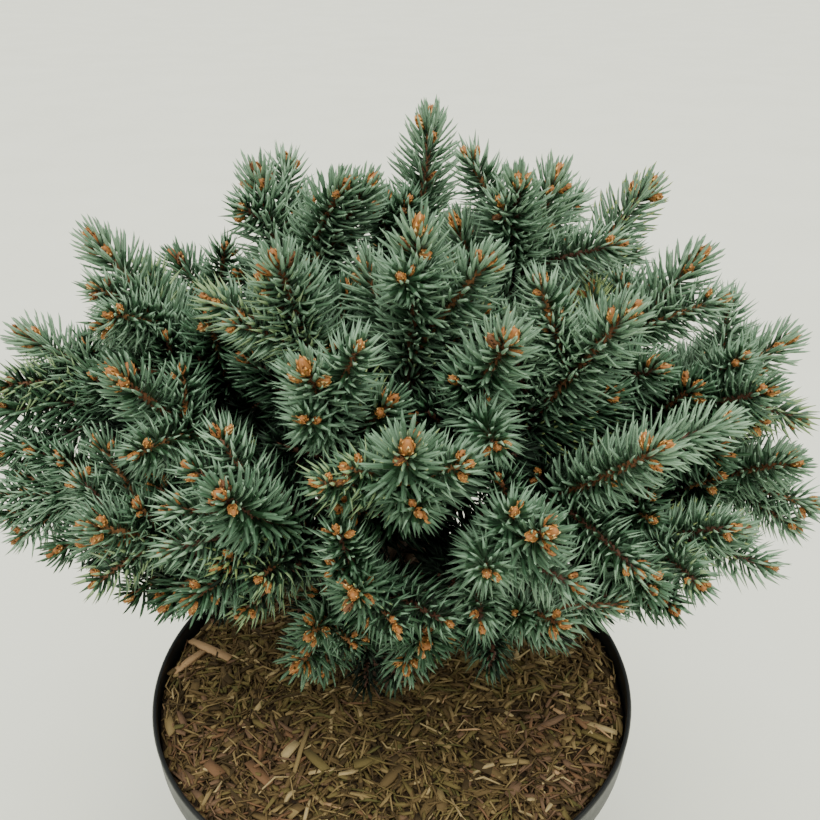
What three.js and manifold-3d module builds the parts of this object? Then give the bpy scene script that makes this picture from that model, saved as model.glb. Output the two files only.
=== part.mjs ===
// A potted dwarf blue spruce: a cushion of short needled shoots on a low trunk, in a round black
// nursery pot filled with shredded bark. Millimetres, +Z up. The origin is the middle of the pot's
// flat underside, +X is the plant's right seen from the front, and +Y points to its back.
import * as THREE from "three";
import { mergeVertices } from "three/addons/utils/BufferGeometryUtils.js";
import Module from "manifold-3d";

const wasm = await Module();
wasm.setup();

// Driving dimensions
const GAP = 0.3; // clearance between two pieces that touch on the real plant
const POT = {
  height: 150,
  rimRadius: 95,
  collarDepth: 13, // height of the collar below the rim
  collarStep: 2.4, // how far the collar stands out from the wall
  footRadius: 69,
  wall: 1.7,
  floor: 3,
  holes: 6,
  holeRadius: 4.5,
  holeRing: 52, // radius of the circle that the drain holes are on
  sides: 36,
};
const MULCH = {
  top: 142,
  relief: 2.4, // height between the hollows and the humps of its top
  flatRadius: 22, // the level patch round the trunk
  rings: 4,
  chips: 10,
  chipLength: 17,
  chipWidth: 3.6,
  chipDepth: 3.2,
};
const TRUNK = {
  footAt: new THREE.Vector2(-0.9, 8.3), // the trunk leans forward from here to the hub
  footRadius: 9.8,
  flare: 0.14, // how much the roots swell the foot, as a share of its radius
  neckRadius: 6.9,
  neckHeight: 13,
  forkRadius: 5.9,
  tipRadius: 3.4,
  run: 36, // how far it goes on above the hub, up to the leader
  sides: 9,
};
const HUB = new THREE.Vector3(0, 0, 200); // the point on the trunk that the crown fans out from
const BOUGH = {
  rootRadius: 2.7,
  tipRadius: 2.1,
  kneeRun: 30, // distance from the hub at which a bough turns into its final heading
  share: 0.42, // the bough's part of its masses' reach
  sides: 5,
};
const SHOOT = {
  stem: 1.7, // radius of the stem that carries a mass's shoots
  core: 1.5, // radius of a shoot's twig
  corners: 6,
  needle: 12.6, // how far needles stand out from a shoot's middle line
  lean: 0.9, // forward lean of the needles for each millimetre outwards
  pitch: 10.5, // distance between two rings of needles
  twist: 0.22, // turn between two rings of needles, in radians
  least: 4, // the shortest needle that is kept
  between: 0.4, // room left between the needles of two shoots
  leadShare: 0.27, // the leading shoot's part of its mass's reach
  whorl: 3, // side shoots behind the leading one
  spacing: 7, // distance between them along the stem
  tries: 9, // ways that a side shoot tries for room
  swing: 0.35, // turn between two of those ways, in radians
  shortest: 12, // the shortest side shoot that is kept
  bud: 5.5,
  budRadius: 2.2,
};
const SKIRT = {
  foot: 156, // height on the trunk of the wide cone that the crown stays above
  slope: 0.58,
  trunkClear: 13, // distance that low masses keep from the trunk's middle line
};
const SPACE_MARGIN = 0.2; // room on each side of the plane between two masses

// The crown's plan. Each bough ends at a fork of two masses of shoots. A mass is given by its
// bearing (degrees from the front, positive to the plant's right), its rise above the level
// (degrees) and its reach from the hub to its leading bud (millimetres).
const CROWN_PLAN = [
  { name: "crest_left", from: 226, masses: [[-105, 74, 158], [-125, 46, 150]] },
  { name: "crest_front_left", from: 206, masses: [[-36, 70, 150], [-16, 59, 141]] },
  { name: "crest_front_right", from: 215, masses: [[12, 73, 157], [27, 60, 148]] },
  { name: "crest_right", from: 220, masses: [[92, 71, 162], [114, 54, 173]] },
  { name: "shoulder_left", from: 200, masses: [[-89, 55, 163], [-96, 36, 161]] },
  { name: "shoulder_right", from: 199, masses: [[56, 57, 152], [89, 52, 162]] },
  { name: "shoulder_front", from: 197, masses: [[4, 50, 144], [-25, 44, 136]] },
  { name: "shoulder_back", from: 201, masses: [[172, 57, 150], [180, 36, 148]] },
  { name: "shoulder_back_left", from: 191, masses: [[-152, 60, 150], [-150, 37, 148]] },
  { name: "flank_left", from: 189, masses: [[-58, 50, 142], [-56, 31, 127]] },
  { name: "flank_right", from: 182, masses: [[50, 43, 139], [65, 25, 134]] },
  { name: "flank_back_right", from: 186, masses: [[142, 38, 150], [122, 21, 150]] },
  { name: "side_right", from: 175, masses: [[90, 36, 167], [91, 19, 153]] },
  { name: "side_left", from: 177, masses: [[-87, 20, 142], [-66, 23, 118]] },
  { name: "skirt_back_left", from: 182, masses: [[-121, 20, 142], [-152, 19, 138]] },
  { name: "skirt_back", from: 178, masses: [[152, 20, 142], [178, 18, 139]] },
  { name: "skirt_front_right", from: 193, masses: [[24, 40, 136], [34, 24, 104]] },
  { name: "skirt_front", from: 183, masses: [[-18, 23, 84], [-5, 35, 112]] },
];
const LEADER = { name: "leader", plan: [156, 78, 168] };
const LOW_TWIGS = [
  { name: "low_front_left", from: 173, plan: [-30, 2, 64] },
  { name: "low_front_right", from: 178, plan: [9, 23, 84] },
];

const RIM_COLOUR = 0x17191a;
const BARK_COLOUR = 0x5b3d2a;
const MULCH_COLOUR = 0x4a3a22;
const NEEDLE_COLOURS = [0x6f978c, 0x5f8a80, 0x4d7a6c];

// Small helpers: a seeded stream of numbers, directions, and the step to and from solids

/** A stream of numbers from 0 to 1 that is the same for the same seed. */
function seeded(seed) {
  let state = (seed * 2654435761) >>> 0;
  return () => {
    state = (Math.imul(state, 1664525) + 1013904223) >>> 0;
    return state / 4294967296;
  };
}

/** The unit direction of a bearing and a rise, both in degrees. */
function heading(bearing, rise) {
  const b = THREE.MathUtils.degToRad(bearing);
  const e = THREE.MathUtils.degToRad(rise);
  return new THREE.Vector3(Math.sin(b) * Math.cos(e), -Math.cos(b) * Math.cos(e), Math.sin(e));
}

/** Two unit directions square to an axis and to each other. */
function across(axis) {
  const helper = Math.abs(axis.z) < 0.9 ? new THREE.Vector3(0, 0, 1) : new THREE.Vector3(1, 0, 0);
  const u = new THREE.Vector3().crossVectors(helper, axis).normalize();
  const v = new THREE.Vector3().crossVectors(axis, u);
  return [u, v];
}

/** A closed three.js geometry as a solid. */
function solidOf(geometry) {
  const bare = geometry.clone();
  bare.deleteAttribute("normal");
  bare.deleteAttribute("uv");
  const merged = mergeVertices(bare, 1e-4);
  return new wasm.Manifold(
    new wasm.Mesh({
      numProp: 3,
      vertProperties: new Float32Array(merged.attributes.position.array),
      triVerts: new Uint32Array(merged.index.array),
    }),
  );
}

/** A solid's largest body as a three.js geometry. */
function geometryOf(solid) {
  const bodies = solid.decompose().sort((a, b) => b.volume() - a.volume());
  const mesh = bodies[0].getMesh();
  const made = new THREE.BufferGeometry();
  made.setAttribute("position", new THREE.BufferAttribute(new Float32Array(mesh.vertProperties), 3));
  made.setIndex(new THREE.BufferAttribute(new Uint32Array(mesh.triVerts), 1));
  const flat = made.toNonIndexed();
  flat.computeVertexNormals();
  return flat;
}

/** A closed geometry from rings of equal length, with a point or a flat cap at each end. */
function skinOf(rings, startPoint, endPoint) {
  const n = rings[0].length;
  const points = [...rings.flat(), startPoint, endPoint];
  const first = rings.length * n;
  const faces = [];
  for (let i = 0; i + 1 < rings.length; i++)
    for (let j = 0; j < n; j++) {
      const [a, b] = [i * n + j, i * n + ((j + 1) % n)];
      faces.push(a, b, b + n, a, b + n, a + n);
    }
  for (let j = 0; j < n; j++) {
    const k = (j + 1) % n;
    faces.push(first, k, j);
    faces.push(first + 1, first - n + j, first - n + k);
  }
  const made = new THREE.BufferGeometry();
  const numbers = points.flatMap((p) => p.toArray());
  made.setAttribute("position", new THREE.Float32BufferAttribute(numbers, 3));
  made.setIndex(faces);
  return made;
}

/** A limb with round sections: centres and radii along it, and the way its first end faces. */
function limb(centres, radii, sides, facing = null, swell = () => 1) {
  const last = centres.length - 1;
  const frames = centres.map((c, i) => {
    const ahead = centres[Math.min(i + 1, last)];
    const behind = centres[Math.max(i - 1, 0)];
    return ahead.clone().sub(behind).normalize();
  });
  if (facing) frames[0] = facing;
  let [u] = across(frames[0]);
  const rings = centres.map((c, i) => {
    u = u.clone().addScaledVector(frames[i], -u.dot(frames[i])).normalize();
    const v = new THREE.Vector3().crossVectors(frames[i], u);
    return Array.from({ length: sides }, (_, j) => {
      const t = (j / sides) * 2 * Math.PI;
      const r = radii[i] * swell(i, t);
      return c.clone().addScaledVector(u, r * Math.cos(t)).addScaledVector(v, r * Math.sin(t));
    });
  });
  return skinOf(rings, centres[0].clone(), centres.at(-1).clone());
}

// The pot: a thin tapered wall with a deep collar, a flat foot and drain holes

function potRadiusAt(z) {
  const top = POT.rimRadius - POT.collarStep;
  return POT.footRadius + ((top - POT.footRadius) * z) / POT.height;
}

function makePot() {
  const { height, rimRadius, collarDepth, collarStep, wall, floor, footRadius, sides } = POT;
  const collarFoot = height - collarDepth;
  const profile = [
    [0, 0],
    [footRadius - 2, 0],
    [footRadius, 2],
    [potRadiusAt(collarFoot - 1.5), collarFoot - 1.5],
    [rimRadius - 0.9, collarFoot],
    [rimRadius, height - 0.8],
    [rimRadius - 0.8, height],
    [rimRadius - wall, height],
    [rimRadius - wall - 0.2, collarFoot + wall],
    [potRadiusAt(collarFoot) - wall, collarFoot - 0.8],
    [footRadius - wall, floor],
    [0, floor],
  ].map(([r, z]) => new THREE.Vector2(r, z));
  const turned = new THREE.LatheGeometry(profile, sides).rotateX(Math.PI / 2);
  let pot = solidOf(turned);
  for (let k = 0; k < POT.holes; k++) {
    const t = ((k + 0.5) / POT.holes) * 2 * Math.PI;
    const drill = new THREE.CylinderGeometry(POT.holeRadius, POT.holeRadius, 4 * floor, 8)
      .rotateX(Math.PI / 2)
      .translate(POT.holeRing * Math.cos(t), POT.holeRing * Math.sin(t), floor / 2);
    pot = pot.subtract(solidOf(drill));
  }
  return geometryOf(pot);
}

// The filling: shredded bark, level round the trunk and uneven elsewhere, with loose chips on it

function makeMulch() {
  const random = seeded(7);
  const edge = POT.rimRadius - POT.wall - GAP - 0.8; // clear of the collar's flat sides
  const collarFoot = POT.height - POT.collarDepth;
  const throat = potRadiusAt(collarFoot) - POT.wall - GAP - 0.3;
  const ringAt = (radius, z, rough) =>
    Array.from({ length: POT.sides }, (_, j) => {
      const t = (j / POT.sides) * 2 * Math.PI;
      const lift = rough ? (random() * 2 - 1) * MULCH.relief * 0.5 : 0;
      return new THREE.Vector3(radius * Math.cos(t), radius * Math.sin(t), z + lift);
    });
  const footRadius = potRadiusAt(POT.floor) - POT.wall - GAP - 0.6;
  const rings = [
    ringAt(footRadius, POT.floor + GAP, false),
    ringAt(throat, collarFoot - 1, false),
    ringAt(throat, collarFoot + 0.6, false),
    ringAt(edge, collarFoot + 2.8, false),
  ];
  for (let k = 0; k < MULCH.rings; k++) {
    const radius = THREE.MathUtils.lerp(edge - 0.5, MULCH.flatRadius, k / (MULCH.rings - 1));
    rings.push(ringAt(radius, MULCH.top, k < MULCH.rings - 1));
  }
  const centreFoot = new THREE.Vector3(0, 0, POT.floor + GAP);
  let mulch = solidOf(skinOf(rings, centreFoot, new THREE.Vector3(0, 0, MULCH.top)));
  for (let k = 0; k < MULCH.chips; k++) {
    const radius = edge * Math.sqrt(THREE.MathUtils.lerp(0.09, 0.72, (k + random()) / MULCH.chips));
    const bearing = k * 2.39996 + random();
    const length = MULCH.chipLength * (0.6 + 0.6 * random());
    const width = MULCH.chipWidth * (0.6 + 0.7 * random());
    const chip = new THREE.BoxGeometry(length, width, MULCH.chipDepth)
      .rotateY((random() - 0.5) * 0.3)
      .rotateZ(random() * Math.PI)
      .translate(radius * Math.cos(bearing), radius * Math.sin(bearing), MULCH.top + 0.6);
    mulch = mulch.add(solidOf(chip));
  }
  return geometryOf(mulch);
}

// The trunk: a flared foot, a taper to the fork and on to the leader

/** The point on the trunk's middle line at a height. */
function trunkPoint(z) {
  if (z > HUB.z) {
    const lean = heading(LEADER.plan[0], LEADER.plan[1]);
    return HUB.clone().addScaledVector(lean, (z - HUB.z) / lean.z);
  }
  const shift = (HUB.z - z) / (HUB.z - MULCH.top);
  return new THREE.Vector3(TRUNK.footAt.x * shift, TRUNK.footAt.y * shift, z);
}

/** The trunk's centres and radii, with clearance added all round. */
function trunkLine(clearance) {
  const foot = MULCH.top + GAP;
  const heights = [foot, foot + 4, foot + TRUNK.neckHeight, foot + 36, HUB.z];
  const top = HUB.z + TRUNK.run + clearance;
  const centres = [...heights, (HUB.z + top) / 2, top].map(trunkPoint);
  const { footRadius, neckRadius, forkRadius, tipRadius } = TRUNK;
  const radii = [
    footRadius,
    (footRadius + neckRadius) / 2,
    neckRadius,
    (neckRadius + forkRadius) / 2,
    forkRadius,
    (forkRadius + tipRadius) / 2,
    tipRadius,
  ];
  return [centres, radii.map((r) => r + clearance)];
}

function trunkSolid(clearance) {
  const swell = (i, t) => 1 + (i < 2 ? TRUNK.flare / (1 + i) : 0) * Math.cos(3 * t + 0.6);
  const [centres, radii] = trunkLine(clearance);
  const level = new THREE.Vector3(0, 0, 1);
  return solidOf(limb(centres, radii, TRUNK.sides, level, swell));
}

// Boughs: each runs up out of the trunk, turns outwards at its knee, and ends flat at its fork

/** The direction that a bough ends in: midway between its two masses. */
function boughHeading(masses) {
  return heading(masses[0][0], masses[0][1]).add(heading(masses[1][0], masses[1][1])).normalize();
}

/** How far from the hub a bough ends. */
function boughRun(masses) {
  return BOUGH.share * Math.min(masses[0][2], masses[1][2]);
}

function makeBough(bough, trunkGrown) {
  const out = boughHeading(bough.masses);
  const run = boughRun(bough.masses);
  const start = trunkPoint(bough.from);
  const knee = HUB.clone().addScaledVector(out, Math.min(BOUGH.kneeRun, run * 0.8));
  const tip = HUB.clone().addScaledVector(out, run);
  const centres = [start, start.clone().lerp(knee, 0.5), knee, tip];
  const radii = centres.map((c, i) =>
    THREE.MathUtils.lerp(BOUGH.rootRadius, BOUGH.tipRadius, i / (centres.length - 1)),
  );
  return geometryOf(solidOf(limb(centres, radii, BOUGH.sides)).subtract(trunkGrown));
}

// Masses of shoots. Each keeps to its own space, which is bounded by flat planes: one halfway to
// each other mass, seen from the hub, one over the pot, one beside the trunk and one past its bough.

/** The planes that bound a mass's space, each with its inward normal and offset. */
function spaceOf(mass, others) {
  const planes = others
    .filter((other) => other !== mass)
    .map((other) => {
      const normal = mass.axis.clone().sub(other.axis).normalize();
      return { normal, offset: normal.dot(HUB) + SPACE_MARGIN };
    });
  const level = new THREE.Vector3(mass.axis.x, mass.axis.y, 0).normalize();
  const skirt = level.clone().multiplyScalar(mass.low ? 0 : -SKIRT.slope);
  skirt.z = 1;
  const pitch = skirt.length();
  planes.push({ normal: skirt.divideScalar(pitch), offset: SKIRT.foot / pitch });
  if (mass.rise < 65) planes.push({ normal: level, offset: SKIRT.trunkClear });
  if (mass.bough) planes.push({ normal: mass.bough, offset: mass.bough.dot(HUB) + mass.run + GAP });
  return planes;
}

/** How far along a direction from a point the planes allow, less a margin. */
function roomAlong(point, direction, planes, margin) {
  let room = Infinity;
  for (const { normal, offset } of planes) {
    const slope = normal.dot(direction);
    const spare = normal.dot(point) - offset - margin;
    if (spare < 0) return 0;
    if (slope < -1e-9) room = Math.min(room, spare / -slope);
  }
  return room;
}

/** The way a side shoot takes from its base: the first of a fan of ways with room for it. */
function sideShoot(mass, planes, base, roll, tilt, length) {
  const [u, v] = across(mass.axis);
  let best = null;
  for (let turn = 0; turn < SHOOT.tries; turn++) {
    const swing = roll + (turn % 2 ? 1 : -1) * Math.ceil(turn / 2) * SHOOT.swing;
    const side = u.clone().multiplyScalar(Math.cos(swing)).addScaledVector(v, Math.sin(swing));
    const direction = mass.axis.clone().multiplyScalar(Math.cos(tilt));
    direction.addScaledVector(side, Math.sin(tilt));
    const free = Math.min(length, roomAlong(base, direction, planes, SHOOT.core + 1));
    if (!best || free > best.length + 1) best = { base, direction, length: free };
    if (free === length) break;
  }
  return best;
}

/** The shoots of a mass, by a seeded rule: a leading one, a whorl behind it, more on the stem. */
function shootsOf(mass, planes) {
  const random = seeded(mass.seed);
  const leading = SHOOT.leadShare * mass.reach + 5 * random();
  const node = HUB.clone().addScaledVector(mass.axis, mass.reach - leading - SHOOT.bud);
  const shoots = [{ base: node, direction: mass.axis, length: leading, budded: true }];
  const turn = random() * 2 * Math.PI;
  const side = (base, k, least, most, tilt) => {
    const roll = turn + (k / SHOOT.whorl) * 2 * Math.PI + 0.5 * (random() - 0.5);
    const length = leading * THREE.MathUtils.lerp(least, most, random());
    const lean = THREE.MathUtils.degToRad(tilt + 10 * random());
    const found = sideShoot(mass, planes, base, roll, lean, length);
    if (found.length > SHOOT.shortest) shoots.push(found);
  };
  for (let k = 0; k < SHOOT.whorl; k++) {
    const base = node.clone().addScaledVector(mass.axis, -2 - SHOOT.spacing * k);
    side(base, k, 0.66, 0.8, 38);
  }
  side(mass.start.clone().lerp(node, 0.35), 0.5, 0.6, 0.72, 45);
  return { shoots, node };
}

/** How far a point is from a shoot's middle line. */
function farFrom(point, shoot) {
  const span = point.clone().sub(shoot.base).dot(shoot.direction);
  const nearest = THREE.MathUtils.clamp(span, 0, shoot.length + SHOOT.bud);
  return point.distanceTo(shoot.base.clone().addScaledVector(shoot.direction, nearest));
}

/** How long a needle can grow: its tip keeps to the mass's space and nearest to its own shoot. */
function needleRoom(point, way, wanted, shoot, others, planes) {
  for (let room = Math.min(wanted, roomAlong(point, way, planes, 0)); room > SHOOT.least; room -= 1) {
    const tip = point.clone().addScaledVector(way, room);
    const own = farFrom(tip, shoot) + SHOOT.between;
    if (others.every((other) => farFrom(tip, other) > own)) return room;
  }
  return 0;
}

/** A shoot as one solid: a slim core that needles stand out of, leaning forward, and a bud. */
function shootSolid(shoot, others, planes) {
  const { corners, core, lean, needle, bud, budRadius } = SHOOT;
  const steps = Math.max(2, Math.round(shoot.length / SHOOT.pitch));
  const [u, v] = across(shoot.direction);
  const rings = [];
  for (let i = 0; i <= steps; i++) {
    const along = (shoot.length * i) / steps;
    const centre = shoot.base.clone().addScaledVector(shoot.direction, along);
    const ring = [];
    for (let j = 0; j < corners; j++) {
      const t = (j / corners) * 2 * Math.PI + i * SHOOT.twist;
      const side = u.clone().multiplyScalar(Math.cos(t)).addScaledVector(v, Math.sin(t));
      const point = centre.clone().addScaledVector(side, core);
      if (i > 0 && (i + j) % 2 === 0) {
        const way = side.clone().addScaledVector(shoot.direction, lean);
        const wanted = needle * (i === steps ? 0.85 : 1) - core;
        point.addScaledVector(way, needleRoom(point, way, wanted, shoot, others, planes));
      }
      ring.push(point);
    }
    rings.push(ring);
  }
  if (shoot.budded) {
    const neck = shoot.base.clone().addScaledVector(shoot.direction, shoot.length + bud * 0.4);
    rings.push(
      Array.from({ length: corners }, (_, j) => {
        const t = (j / corners) * 2 * Math.PI + (steps + 1) * SHOOT.twist;
        const side = u.clone().multiplyScalar(Math.cos(t)).addScaledVector(v, Math.sin(t));
        return neck.clone().addScaledVector(side, budRadius);
      }),
    );
  }
  const tip = shoot.base.clone().addScaledVector(shoot.direction, shoot.length + bud);
  return solidOf(skinOf(rings, shoot.base.clone(), tip));
}

function makeMass(mass, others, trunkGrown) {
  const planes = spaceOf(mass, others);
  const { shoots, node } = shootsOf(mass, planes);
  const middle = mass.start.clone().lerp(node, 0.5);
  const stemRadii = [SHOOT.stem, SHOOT.stem, SHOOT.core / 2];
  const stemCentres = [mass.start, middle, node.clone().addScaledVector(mass.axis, 3)];
  let solid = solidOf(limb(stemCentres, stemRadii, 3, mass.bough));
  if (!mass.bough) solid = solid.subtract(trunkGrown);
  for (const shoot of shoots) {
    const rest = shoots.filter((other) => other !== shoot);
    solid = solid.add(shootSolid(shoot, rest, planes));
  }
  return geometryOf(solid);
}

/** Every mass of the crown, with the point where its stem begins. */
function listMasses() {
  const masses = [];
  const add = (name, [bearing, rise, reach], extra) =>
    masses.push({
      name,
      rise,
      reach,
      axis: heading(bearing, rise),
      seed: masses.length + 11,
      ...extra,
    });
  for (const { name, masses: pair } of CROWN_PLAN) {
    const bough = boughHeading(pair);
    const run = boughRun(pair);
    pair.forEach((plan, k) => {
      const side = heading(plan[0], plan[1]);
      side.addScaledVector(bough, -side.dot(bough)).normalize();
      const start = HUB.clone()
        .addScaledVector(bough, run + GAP)
        .addScaledVector(side, SHOOT.stem + SPACE_MARGIN + 0.2);
      add(`shoots_${name}_${k + 1}`, plan, { bough, run, start });
    });
  }
  add(`shoots_${LEADER.name}`, LEADER.plan, { start: trunkPoint(HUB.z + TRUNK.run) });
  for (const { name, from, plan } of LOW_TWIGS) {
    add(`shoots_${name}`, plan, { start: trunkPoint(from), low: true });
  }
  return masses;
}

// The whole plant

function plant() {
  const group = new THREE.Group();
  const place = (name, geometry, color, roughness) => {
    const material = new THREE.MeshStandardMaterial({ color, roughness, metalness: 0 });
    const mesh = new THREE.Mesh(geometry, material);
    mesh.name = name;
    group.add(mesh);
  };
  const trunkGrown = trunkSolid(GAP);
  place("pot", makePot(), RIM_COLOUR, 0.45);
  place("bark_mulch", makeMulch(), MULCH_COLOUR, 0.95);
  place("trunk", geometryOf(trunkSolid(0)), BARK_COLOUR, 0.9);
  for (const bough of CROWN_PLAN) {
    place(`bough_${bough.name}`, makeBough(bough, trunkGrown), BARK_COLOUR, 0.9);
  }
  const masses = listMasses();
  masses.forEach((mass, index) => {
    const colour = NEEDLE_COLOURS[index % NEEDLE_COLOURS.length];
    place(mass.name, makeMass(mass, masses, trunkGrown), colour, 0.6);
  });
  return group;
}

export default plant();
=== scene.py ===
"""Looks of a potted dwarf blue spruce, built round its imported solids.

Lengths are in millimetres, as in the part's source, and each mesh is scaled to metres when it is
made. The origin is the middle of the pot's flat underside, +X is the plant's right seen from the
front, +Y points to its back and +Z points up.
"""

import sys
import itertools
import logging
import math
from collections.abc import Sequence
from dataclasses import dataclass, field
from enum import Enum
from typing import ClassVar

import bpy
import numpy as np
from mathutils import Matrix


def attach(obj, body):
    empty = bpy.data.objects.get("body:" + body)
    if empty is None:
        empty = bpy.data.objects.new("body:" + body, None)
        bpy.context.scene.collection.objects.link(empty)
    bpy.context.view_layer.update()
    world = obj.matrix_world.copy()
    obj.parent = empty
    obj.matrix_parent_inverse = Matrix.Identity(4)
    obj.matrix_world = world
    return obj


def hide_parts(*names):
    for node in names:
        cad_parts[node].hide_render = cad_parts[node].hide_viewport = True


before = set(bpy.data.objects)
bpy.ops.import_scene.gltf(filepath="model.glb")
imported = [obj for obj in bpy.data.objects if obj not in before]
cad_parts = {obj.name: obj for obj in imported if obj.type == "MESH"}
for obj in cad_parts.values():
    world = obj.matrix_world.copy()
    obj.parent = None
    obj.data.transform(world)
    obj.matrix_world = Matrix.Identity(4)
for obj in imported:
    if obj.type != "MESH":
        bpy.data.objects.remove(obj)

Array = np.ndarray
Mesh = tuple[Array, list[Array]]
Random = np.random.Generator
Pair = tuple[float, float]
Triple = tuple[float, float, float]
Shares = tuple[float, ...]
Colour = tuple[int, int, int]
ColourStops = tuple[tuple[float, Colour], ...]

LOG = logging.getLogger("blue_spruce")
MM = 0.001
UP = np.array([0.0, 0.0, 1.0])
RIGHT = np.array([1.0, 0.0, 0.0])
GAP = 0.3
HUB = np.array([0.0, 0.0, 200.0])

# Turns in radians: a full one, one as full as a random direction needs, and a spiral's step
FULL_TURN = 2 * math.pi
LOOSE_TURN = 6.28
GOLDEN_ANGLE = 2.39996

# Whole numbers that the stream and the noise mix their bits with
LOW_WORD = 0xFFFFFFFF
LOW_HALF = 0xFFFF
SEED_FACTOR = 2654435761
STREAM_FACTOR = 1664525
STREAM_STEP = 1013904223
CELL_FACTORS = (73856093, 19349663, 83492791)
MIX_FACTOR = 1274126177


# Small mathematics


class SeededStream:
    """The source's stream of numbers from 0 to 1, the same for the same seed."""

    def __init__(self, seed: int) -> None:
        """Starts the stream from any whole number."""
        self.state = (seed * SEED_FACTOR) & LOW_WORD

    def take(self) -> float:
        """Returns the next number."""
        self.state = (self.state * STREAM_FACTOR + STREAM_STEP) & LOW_WORD
        return self.state / (LOW_WORD + 1)


def unit(vectors: Array) -> Array:
    """One vector, or an array of them along the last axis, scaled to length 1."""
    return vectors / np.maximum(np.linalg.norm(vectors, axis=-1, keepdims=True), 1e-12)


def heading(bearing: float, rise: float) -> Array:
    """The unit direction of a bearing, in degrees to the right of the front, and a rise in degrees."""
    b, e = math.radians(bearing), math.radians(rise)
    return np.array([math.sin(b) * math.cos(e), -math.cos(b) * math.cos(e), math.sin(e)])


def across(axis: Array) -> tuple[Array, Array]:
    """Two unit directions square to an axis and to each other.

    Args:
        axis: a unit vector.

    Returns:
        The two directions.
    """
    helper = UP if abs(axis[2]) < 0.9 else np.array([1.0, 0.0, 0.0])
    u = unit(np.cross(helper, axis))
    return u, np.cross(axis, u)


def spoke(u: Array, v: Array, turn: float) -> Array:
    """The direction at a turn from u towards v."""
    return u * math.cos(turn) + v * math.sin(turn)


def spokes(u: Array, v: Array, turns: Array) -> Array:
    """The directions at many turns from u towards v, one a row."""
    return np.outer(np.cos(turns), u) + np.outer(np.sin(turns), v)


def even_turns(sides: int) -> Array:
    """Turns that share a full one out evenly."""
    return np.arange(sides) / sides * FULL_TURN


def lerp(a: float, b: float, share: float) -> float:
    """The value a share of the way from a to b."""
    return a + (b - a) * share


def progress(value: float | Array, start: float, run: float) -> float | Array:
    """How far a value has come along a run from its start, kept from 0 to 1."""
    return np.clip((value - start) / run, 0, 1)


def gain(value: float, most: float, start: float, run: float) -> float:
    """What a value brings: nothing at its start, and the most at the end of its run."""
    return most * progress(value, start, run)


def rolled(u: Array, v: Array, roll: Array) -> tuple[Array, Array]:
    """Two directions square to each other, both rolled about the third."""
    return u * np.cos(roll) + v * np.sin(roll), v * np.cos(roll) - u * np.sin(roll)


def smooth_noise(points: Array, scale: float, seed: int) -> Array:
    """Noise from -1 to 1: a number that is mixed at each corner of a grid of cells, blended smoothly.

    Args:
        points: positions, one a row.
        scale: the size of a cell.
        seed: picks another pattern.

    Returns:
        One number for each point.
    """
    cell = np.floor(points / scale).astype(np.int64)
    part = points / scale - cell
    blend = part * part * (3 - 2 * part)
    total = np.zeros(len(points))
    for corner in itertools.product((0, 1), repeat=3):
        at = cell + np.array(corner)
        along_x, along_y, along_z = (at * np.array(CELL_FACTORS)).T
        mixed = (along_x ^ along_y ^ along_z ^ (seed * SEED_FACTOR)) & LOW_WORD
        mixed = ((mixed ^ (mixed >> 13)) * MIX_FACTOR) & LOW_WORD
        value = ((mixed ^ (mixed >> 16)) & LOW_HALF) / (LOW_HALF / 2) - 1
        weight = np.prod(np.where(np.array(corner) == 1, blend, 1 - blend), axis=1)
        total += value * weight
    return total


# Meshes from arrays


class MeshParts:
    """Collects vertices and faces as whole arrays and makes one mesh object of them."""

    def __init__(self) -> None:
        """Starts with nothing in it."""
        self.points: list[Array] = []
        self.faces: list[Array] = []
        self.tints: list[Array] = []
        self.count = 0

    def add(self, points: Array, faces: list[Array], tints: list[Array] | None = None) -> None:
        """Adds a piece of mesh.

        Args:
            points: vertices in millimetres, one a row.
            faces: arrays of corner numbers, each array with one count of corners.
            tints: a material number for each face, in arrays that match faces.
        """
        self.points.append(points.reshape(-1, 3))
        for k, corners in enumerate(faces):
            self.faces.append(corners + self.count)
            shade = tints[k] if tints is not None else np.zeros(len(corners), np.int32)
            self.tints.append(np.asarray(shade, np.int32))
        self.count += len(self.points[-1])

    def triangles(self) -> int:
        """The number of triangles so far."""
        return sum(len(f) * (f.shape[1] - 2) for f in self.faces)

    def build(self, name: str, materials: list[bpy.types.Material]) -> bpy.types.Object:
        """Makes the object, with its place in its mesh and its faces flat.

        Args:
            name: the object's name.
            materials: the materials that the material numbers point to.

        Returns:
            The new object.
        """
        sizes = np.concatenate([np.full(len(f), f.shape[1]) for f in self.faces])
        mesh = bpy.data.meshes.new(name)
        mesh.vertices.add(self.count)
        mesh.vertices.foreach_set("co", (np.concatenate(self.points) * MM).astype(np.float32).ravel())
        mesh.loops.add(int(sizes.sum()))
        corners = np.concatenate([f.ravel() for f in self.faces]).astype(np.int32)
        mesh.loops.foreach_set("vertex_index", corners)
        mesh.polygons.add(len(sizes))
        mesh.polygons.foreach_set("loop_start", (np.cumsum(sizes) - sizes).astype(np.int32))
        mesh.polygons.foreach_set("material_index", np.concatenate(self.tints))
        mesh.update(calc_edges=True)
        for material in materials:
            mesh.materials.append(material)
        piece = bpy.data.objects.new(name, mesh)
        bpy.context.scene.collection.objects.link(piece)
        LOG.info("%s: %d triangles", name, self.triangles())
        return piece


def finish_piece(piece: bpy.types.Object, nodes: Sequence[str] = ()) -> None:
    """Puts a piece on the plant's body, and hides the solids that it stands for.

    Args:
        piece: the finished object.
        nodes: the names of the solids, or none.
    """
    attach(piece, "root")
    if nodes:
        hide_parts(*nodes)


class Piecework:
    """Makes pieces, and holds the parts of the one in hand and the stream that it draws from."""

    parts: MeshParts
    random: Random


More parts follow.
